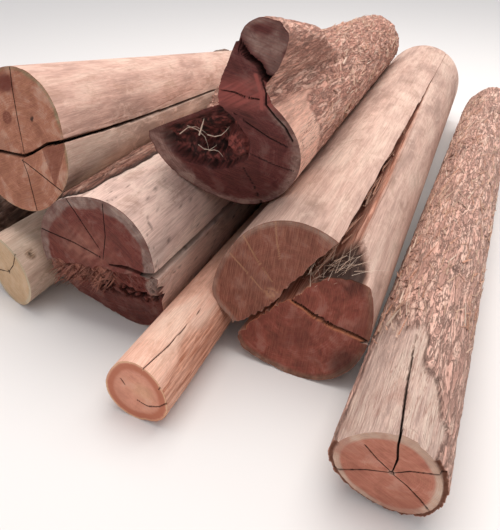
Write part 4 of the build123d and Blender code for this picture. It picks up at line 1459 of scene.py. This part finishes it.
        # Painted shade in the seam, and dark rot in patches with painted shade in the hollow
        skin.dark = np.where(end, np.maximum(seam, pit * (0.12 + 0.75 * ease(0.4, 0.62, crumb))), 0.0)
        around = np.arctan2(v, u)
        reach = np.hypot(u, v) / trunk.radius(around, 0.0 * u)
        ear = 0.12 * ease(60.0, 20.0, np.abs(turn_from(around, 190.0)))
        rim = ease(0.82, 0.93, reach + ear + 0.09 * (crumb - 0.5)) * ease(230.0, 120.0, v)
        upper = ease(10.0, 30.0, side * gap) * ease(270.0, 310.0, v)
        streak = ease(26.0, 10.0, np.hypot((u - 215.0) / 2.2, v - 452.0))
        held = patched(clock, s)
        skin.second = np.where(end, np.maximum(rim, 0.85 * upper * (1.0 - streak)), held)
        neck = ease(150.0, 200.0, v) * ease(310.0, 250.0, v)
        chips = grains(139, u, v, 9.0)
        tan_bits = np.maximum(lump * ease(0.35, 0.6, crumb), 0.6 * pit * ease(0.5, 0.62, chips))
        slant = hills(140, (0.87 * u + 0.5 * v) / 90.0 + 60.0, (0.87 * v - 0.5 * u) / 5.0 + 90.0)
        neck = neck * (0.25 + 0.75 * slant)
        strip = off_path(u, v, ((174.0, 300.0), (182.0, 240.0), (176.0, 180.0)))[0]
        strip = 0.7 * ease(11.0, 4.0, strip)
        skin.third = np.where(end, np.maximum(0.85 * neck * (1.0 - seam), np.maximum(tan_bits, strip)), 0.0)
        # Painted shade in the bark's furrows
        furrow = ease(-7.5, -11.5, bark(clock, s)) * (1.0 - held)
        skin.dark = np.where(end, skin.dark, 0.7 * furrow)
        darken_cracks(skin, cracks)
        # Stringy bark, brighter where the outer layer has weathered off
        side_wood = long_grain(
            "red stringy bark", shades_of(chosen.red_bark, -0.5, -0.12, 0.14, 0.36),
            shades_of("#ffc6ae", -0.3, 0.0, 0.25), "#7a2f22", chosen.shadow, 1.4, "#8a4c3a", 0.45, 0.018,
            checks=0.8, streaky=1.0, flakes=0.95,
        )
        # Sawn heart gone purple red in the air, with a dirty grey rim
        end_wood = end_grain(
            "purple red sawn end", shades_of("#5e2f2e", -0.6, 0.0, 0.07),
            shades_of("#8d7068", -0.5, -0.05, 0.2), "#a85a52", chosen.shadow, "#84463c", 0.01, 18.0, 0.35,
            0.004, "#43191a",
        )
        thing = make_mesh("forked_log_wood", [skin.part()], [side_wood, end_wood], 60.0)
        settle_piece(thing, "stringy_bark", "forked_log")


class AddTopLog(LogOperator, bpy.types.Operator):
    """Add the pale log on top, with the crack right across its end and on along its side"""

    bl_idname = "mesh.add_top_log"
    bl_label = "Pale top log"

    # The crack across the sawn end, its track of stations and clock angles along the side, and the pith
    SPLIT = ((-320.0, -88.0), (-93.0, -60.0), (37.0, -59.0), (90.0, -36.0), (172.0, 11.0), (310.0, 51.0))
    TRACK = ((-80.0, 9.4), (339.0, 5.5), (777.0, 2.5), (2300.0, 1.0))
    PITH = (36.0, -63.0)

    def over_crack(self, clock, s):
        """How many degrees a place on the side lies over the long crack."""
        return turn_from(clock, np.interp(s, *zip(*self.TRACK)))

    def middle(self, s):
        """The rows' middle, which goes from the pith to the axis in the first 0.9 m."""
        near = ease(900.0, 0.0, s)
        return self.PITH[0] * near, self.PITH[1] * near

    def build(self, chosen):
        trunk = TRUNKS["pale_top_log"]
        cracks = [
            Crack(self.SPLIT, 13.0, 120.0, self.TRACK, 17.0, 60.0, 2300.0),
            Crack(((39.0, -42.0), (15.0, 90.0), (-2.0, 208.0), (-8.0, 300.0)), 4.0, 12.0),
            Crack(((35.0, -71.0), (130.0, -110.0), (240.0, -157.0), (262.0, -166.0)), 4.0, 12.0),
            Crack(((40.0, -75.0), (64.0, -128.0), (103.0, -275.0)), 4.0, 12.0),
        ]

        def above(u, v):
            """1 over the crack that crosses the end, 0 under it."""
            return ease(-3.0, 3.0, v - np.interp(u, *zip(*self.SPLIT)))

        def depth(u, v):
            return 12.0 * above(u, v) + end_relief(131, u, v, 65.0, 1.6) + cracked_depth(cracks, u, v)

        wood = smooth_wood(132, 1000.0 * chosen.wood_depth)

        def relief(clock, s):
            over = self.over_crack(clock, s)
            lip = ease(0.0, 1.2, over) * ease(26.0, 2.0, over) * ease(2000.0, 900.0, s)
            scuff = 1.5 * ease(0.7, 0.8, hills(133, clock * 14.0 / math.pi, s / 70.0, 28))
            return wood(clock, s) - 9.0 * lip - scuff + cracked_side(cracks, trunk, clock, s)

        skin = Skin(
            trunk, crowded(360, (9.6, 195.8, 92.0, 328.0, 291.0), 3.5, 5.0), stepped(trunk.length, 140), 58,
            relief, depth, middle=self.middle, pith=self.PITH,
        )
        u, v, s, clock = skin.u, skin.v, skin.s, skin.clock
        end = skin.on_end
        # A grey rim, an orange patch, wedge and knot, a dark star, a grey underside, and stain by the crack
        around = np.arctan2(v, u)
        edge = trunk.radius(around, s) - np.hypot(u, v)
        rim = ease(26.0, 6.0, edge + 20.0 * (rough(134, around * 4.0, 0.0 * edge, 3) - 0.5))
        rim = rim * ease(100.0, 60.0, np.abs(turn_from(clock, 60.0)))
        turn = turn_from(clock, 6.0)
        under = ease(6.0, -4.0, turn) * ease(-150.0, -110.0, turn)
        streaks = 0.3 * rough(135, clock * 3, s / 240.0, 3)
        skin.second = np.where(end, rim, 0.9 * under + streaks * (1.0 - under))
        patch = np.hypot((u + 45.0) / 62.0, (v - 222.0) / 42.0) + 0.5 * (grains(136, u, v, 18.0) - 0.5)
        patch = 0.85 * ease(1.2, 0.5, patch)
        wedge = inside(u, v, ((150.0, -4.0), (290.0, 40.0), (215.0, -150.0)))
        knot = np.hypot(u + 45.0, v - 86.0)
        ringed = ease(30.0, 24.0, knot) * (0.35 + 0.4 * ridge((knot / 9.0) % 1.0))
        skin.third = np.where(end, np.maximum(np.maximum(patch, 0.5 * wedge), ringed), 0.0)
        blot = 26.0 * (grains(142, u, v, 11.0, 2) - 0.5)
        star = ease(15.0, 9.0, np.hypot((u - 99.0) * 1.3, v - 106.0) + blot)
        skin.dark = np.where(end, 0.85 * star, 0.0)
        near_split = self.over_crack(clock, s)
        stain = ease(9.0, 1.0, near_split) * ease(-1.0, 1.0, near_split) * ease(1500.0, 300.0, s)
        skin.third = np.where(end, skin.third, 0.5 * stain * rough(137, clock * 20, s / 60.0, 3))
        darken_cracks(skin, cracks)
        # Barkless and dried in the sun: cream pink, greyer underneath
        side = long_grain(
            "cream pink wood", shades_of(chosen.pale_wood, -0.32, -0.08, 0.15, 0.36),
            shades_of("#a88f80", -0.25, 0.0, 0.28), "#8a4a35", chosen.shadow, 0.9, "#94705a",
        )
        # Sawn across a dry heart: tan orange, olive grey at the rim
        end_wood = end_grain(
            "tan orange sawn end", shades_of(chosen.heartwood, -0.35, 0.04, 0.28),
            shades_of("#8c7a5e", -0.25, 0.0, 0.2), "#5f2218", chosen.shadow, "#c98e68", ring=0.009,
            saw_angle=-25.0, bump=0.002,
        )
        thing = make_mesh("pale_top_log_wood", [skin.part()], [side, end_wood])
        settle_piece(thing, "smooth_pale_wood", "pale_top_log")


class AddDebris(LogOperator, bpy.types.Operator):
    """Add the straws, fibres and roots caught in the heap, and the loose threads of its bark"""

    bl_idname = "mesh.add_debris"
    bl_label = "Straws and splinters"

    def build(self, chosen):
        rng = np.random.default_rng(141)
        split_trunk = TRUNKS["split_log"]
        run = np.array([math.cos(AddSplitLog.PITCH), math.sin(AddSplitLog.PITCH)])
        rise = np.array([-run[1], run[0]])
        # Dry grass stalks and torn fibres, straw pale to orange
        straw = long_grain(
            "dry straw", shades_of("#dcc9b6", -0.2, 0.0, 0.3, 0.6), shades_of("#c2a288", -0.2, 0.1, 0.3),
            "#cc8464", chosen.shadow, 3.0, bump=0.0005,
        )
        parts = []
        for _ in range(chosen.straws):
            across = rng.uniform(120.0, 330.0)
            level = rng.uniform(-30.0, 40.0) - 0.0004 * across ** 2
            u, v = AddSplitLog.MIDDLE + across * run + level * rise
            s = float(split_trunk.sawn(u, v)) + rng.uniform(5.0, 90.0)
            long = rng.uniform(50.0, 150.0)
            way = rng.normal(0.0, 0.45, 3) + np.array([0.5, 0.35, 0.5])
            way = long * way / np.linalg.norm(way)
            parts.append(
                sliver(
                    split_trunk.place(u, v, s),
                    split_trunk.place(u + way[0], v + way[1], s + abs(way[2])),
                    rng.uniform(0.001, 0.003), 0.001, rng.normal(0.0, 0.012), rng.uniform(0.0, 1.0, 3),
                    np.array([rng.uniform(0.0, 0.25), rng.uniform(0.0, 1.0), rng.uniform(0.0, 0.4)]),
                )
            )
        # Fibres that bridge the long cleft
        for _ in range(110):
            s = rng.uniform(120.0, 1900.0)
            across = rng.uniform(120.0, 290.0)
            gap = 1.0 - s / AddSplitLog.CLEFT
            u, v = AddSplitLog.MIDDLE + across * run + rng.uniform(0.0, 30.0) * gap * rise
            long = rng.uniform(60.0, 260.0)
            parts.append(
                sliver(
                    split_trunk.place(u, v, s),
                    split_trunk.place(u + rng.normal(12.0, 14.0), v + rng.normal(0.0, 10.0), s + long),
                    rng.uniform(0.003, 0.009), 0.002, rng.normal(0.0, 0.008), rng.uniform(0.0, 1.0, 3),
                    np.array([rng.uniform(0.0, 0.3), rng.uniform(0.3, 1.0), rng.uniform(0.5, 1.0)]),
                )
            )
        # Thin pale roots in the hollow of the forked log
        fork_trunk = TRUNKS["forked_log"]
        for start, end, bow in (
            ((-190.0, 20.0, 5.0), (-60.0, 40.0, -18.0), 0.03),
            ((-60.0, 40.0, -18.0), (40.0, 90.0, -25.0), -0.02),
            ((-150.0, 60.0, 10.0), (-80.0, -40.0, -5.0), 0.025),
            ((-80.0, -40.0, -5.0), (-20.0, -60.0, -15.0), 0.015),
            ((-100.0, 30.0, -10.0), (-60.0, 110.0, -10.0), 0.01),
            ((-120.0, -20.0, 0.0), (-30.0, 0.0, -20.0), -0.02),
        ):
            places = []
            for u, v, lift in (start, end):
                places.append(fork_trunk.place(u, v, float(fork_trunk.sawn(u, v)) + lift + 30.0))
            parts.append(sliver(*places, 0.006, 0.005, bow, rng.uniform(0.0, 1.0, 3), np.zeros(3)))
        # Threads of bark that have come loose and lie on the two barky logs
        for name, first, last, low, high, count in (
            ("bark_log", 420.0, 3500.0, 20.0, 165.0, 700), ("forked_log", 380.0, 2600.0, -10.0, 110.0, 420),
        ):
            trunk = TRUNKS[name]
            for _ in range(count):
                s = rng.uniform(first, last)
                clock = math.radians(rng.uniform(low, high))
                swing = rng.normal(0.0, 0.55)
                long = rng.uniform(30.0, 130.0)
                further = clock + long * math.sin(swing) / trunk.radii[0]
                ends = []
                for angle, station, lift in (
                    (clock, s, -4.0),
                    (further, s + long * math.cos(swing), rng.uniform(-4.0, 9.0)),
                ):
                    reach = float(trunk.radius(angle, station)) + lift
                    ends.append(trunk.place(reach * math.cos(angle), reach * math.sin(angle), station))
                parts.append(
                    sliver(
                        *ends, rng.uniform(0.002, 0.009), 0.0015, rng.normal(0.0, 0.004),
                        rng.uniform(0.0, 1.0, 3),
                        np.array([rng.uniform(0.0, 0.35), rng.uniform(0.0, 1.0), rng.uniform(0.2, 1.0)]),
                    )
                )
        thing = make_mesh("straws_and_splinters", parts, [straw])
        settle_piece(thing, "fresh_orange_wood")


# The floor's half width, and the camera that was fitted to the photo: its sensor in millimetres, its
# focal length and the photo's width in pixels, its place in metres and its turn in degrees
FLOOR = 60.0
SENSOR = 36.0
FOCAL_PIXELS = 581.0
PHOTO_PIXELS = 500.0
CAMERA_PLACE = (1.25275, -3.06343, 1.6)
CAMERA_TURN = (57.2, 0.0, 23.4)


class AddStage(bpy.types.Operator):
    """Add the plain floor, the soft light and the camera at the photo's place"""

    bl_idname = "scene.add_log_stage"
    bl_label = "Stage"
    bl_options = {"REGISTER", "UNDO"}

    def execute(self, context):
        mesh = bpy.data.meshes.new("floor")
        corners = [(-FLOOR, -FLOOR, 0.0), (FLOOR, -FLOOR, 0.0), (FLOOR, FLOOR, 0.0), (-FLOOR, FLOOR, 0.0)]
        mesh.from_pydata(corners, [], [(0, 1, 2, 3)])
        floor = bpy.data.objects.new("floor", mesh)
        context.collection.objects.link(floor)
        made = bpy.data.materials.new("pale floor")
        made.use_nodes = True
        surface = made.node_tree.nodes["Principled BSDF"]
        surface.inputs["Base Color"].default_value = (*linear("#e6e3e0"), 1.0)
        surface.inputs["Roughness"].default_value = 0.95
        mesh.materials.append(made)

        world = bpy.data.worlds.new("overcast")
        context.scene.world = world
        world.use_nodes = True
        world.node_tree.nodes.clear()
        add = partial(add_node, world.node_tree)
        # White where it is seen straight, in a mirror or through glass, a soft sky for all other light
        rays = add("LightPath").node.outputs
        seen = add("Math", {0: rays["Is Camera Ray"], 1: rays["Is Glossy Ray"]}, operation="MAXIMUM")
        seen = add("Math", {0: seen, 1: rays["Is Transmission Ray"]}, operation="MAXIMUM")
        sky = add("Background", {"Color": (*linear("#f4f4f8"), 1.0), "Strength": 0.78})
        white = add("Background", {"Color": (1.0, 1.0, 1.0, 1.0), "Strength": 1.0})
        add("OutputWorld", {0: add("MixShader", {0: seen, 1: sky, 2: white})})

        lamp = bpy.data.lights.new("soft sky", "AREA")
        lamp.energy = 400.0
        lamp.size = 6.0
        lamp.color = linear("#fffaf6")
        light = bpy.data.objects.new("soft sky", lamp)
        light.location = (0.8, 0.6, 6.0)
        light.rotation_euler = Euler((math.radians(-6.0), 0.0, 0.0))
        context.collection.objects.link(light)

        lens = bpy.data.cameras.new("photo")
        lens.sensor_fit = "HORIZONTAL"
        lens.sensor_width = SENSOR
        lens.lens = SENSOR * FOCAL_PIXELS / PHOTO_PIXELS
        camera = bpy.data.objects.new("photo", lens)
        camera.location = CAMERA_PLACE
        camera.rotation_euler = Euler([math.radians(angle) for angle in CAMERA_TURN])
        context.collection.objects.link(camera)
        context.scene.camera = camera
        context.scene.view_settings.view_transform = "Standard"
        return {"FINISHED"}


class LogHeapPanel(bpy.types.Panel):
    """Lists the pieces of the heap and what can be changed in them"""

    bl_idname = "VIEW3D_PT_log_heap"
    bl_label = "Heap of logs"
    bl_space_type = "VIEW_3D"
    bl_region_type = "UI"
    bl_category = "Logs"

    def draw(self, context):
        column = self.layout.column()
        for key in LogHeapSettings.__annotations__:
            column.prop(context.scene.log_heap, key)
        for piece in PIECES:
            column.operator(piece.bl_idname)


PIECES = (
    AddSplitLog, AddBarkLog, AddSmallOrangeLog, AddCrackedLog, AddBarkSlab, AddOuterLogs, AddForkedLog,
    AddTopLog, AddDebris, AddStage,
)


def register():
    for kind in (LogHeapSettings, *PIECES, LogHeapPanel):
        bpy.utils.register_class(kind)
    bpy.types.Scene.log_heap = PointerProperty(type=LogHeapSettings)


def unregister():
    del bpy.types.Scene.log_heap
    for kind in reversed((LogHeapSettings, *PIECES, LogHeapPanel)):
        bpy.utils.unregister_class(kind)


def main():
    register()
    for piece in PIECES:
        group, name = piece.bl_idname.split(".")
        if getattr(getattr(bpy.ops, group), name)() != {"FINISHED"}:
            raise RuntimeError(piece.bl_label + " was not built")


if __name__ == "__main__":
    main()
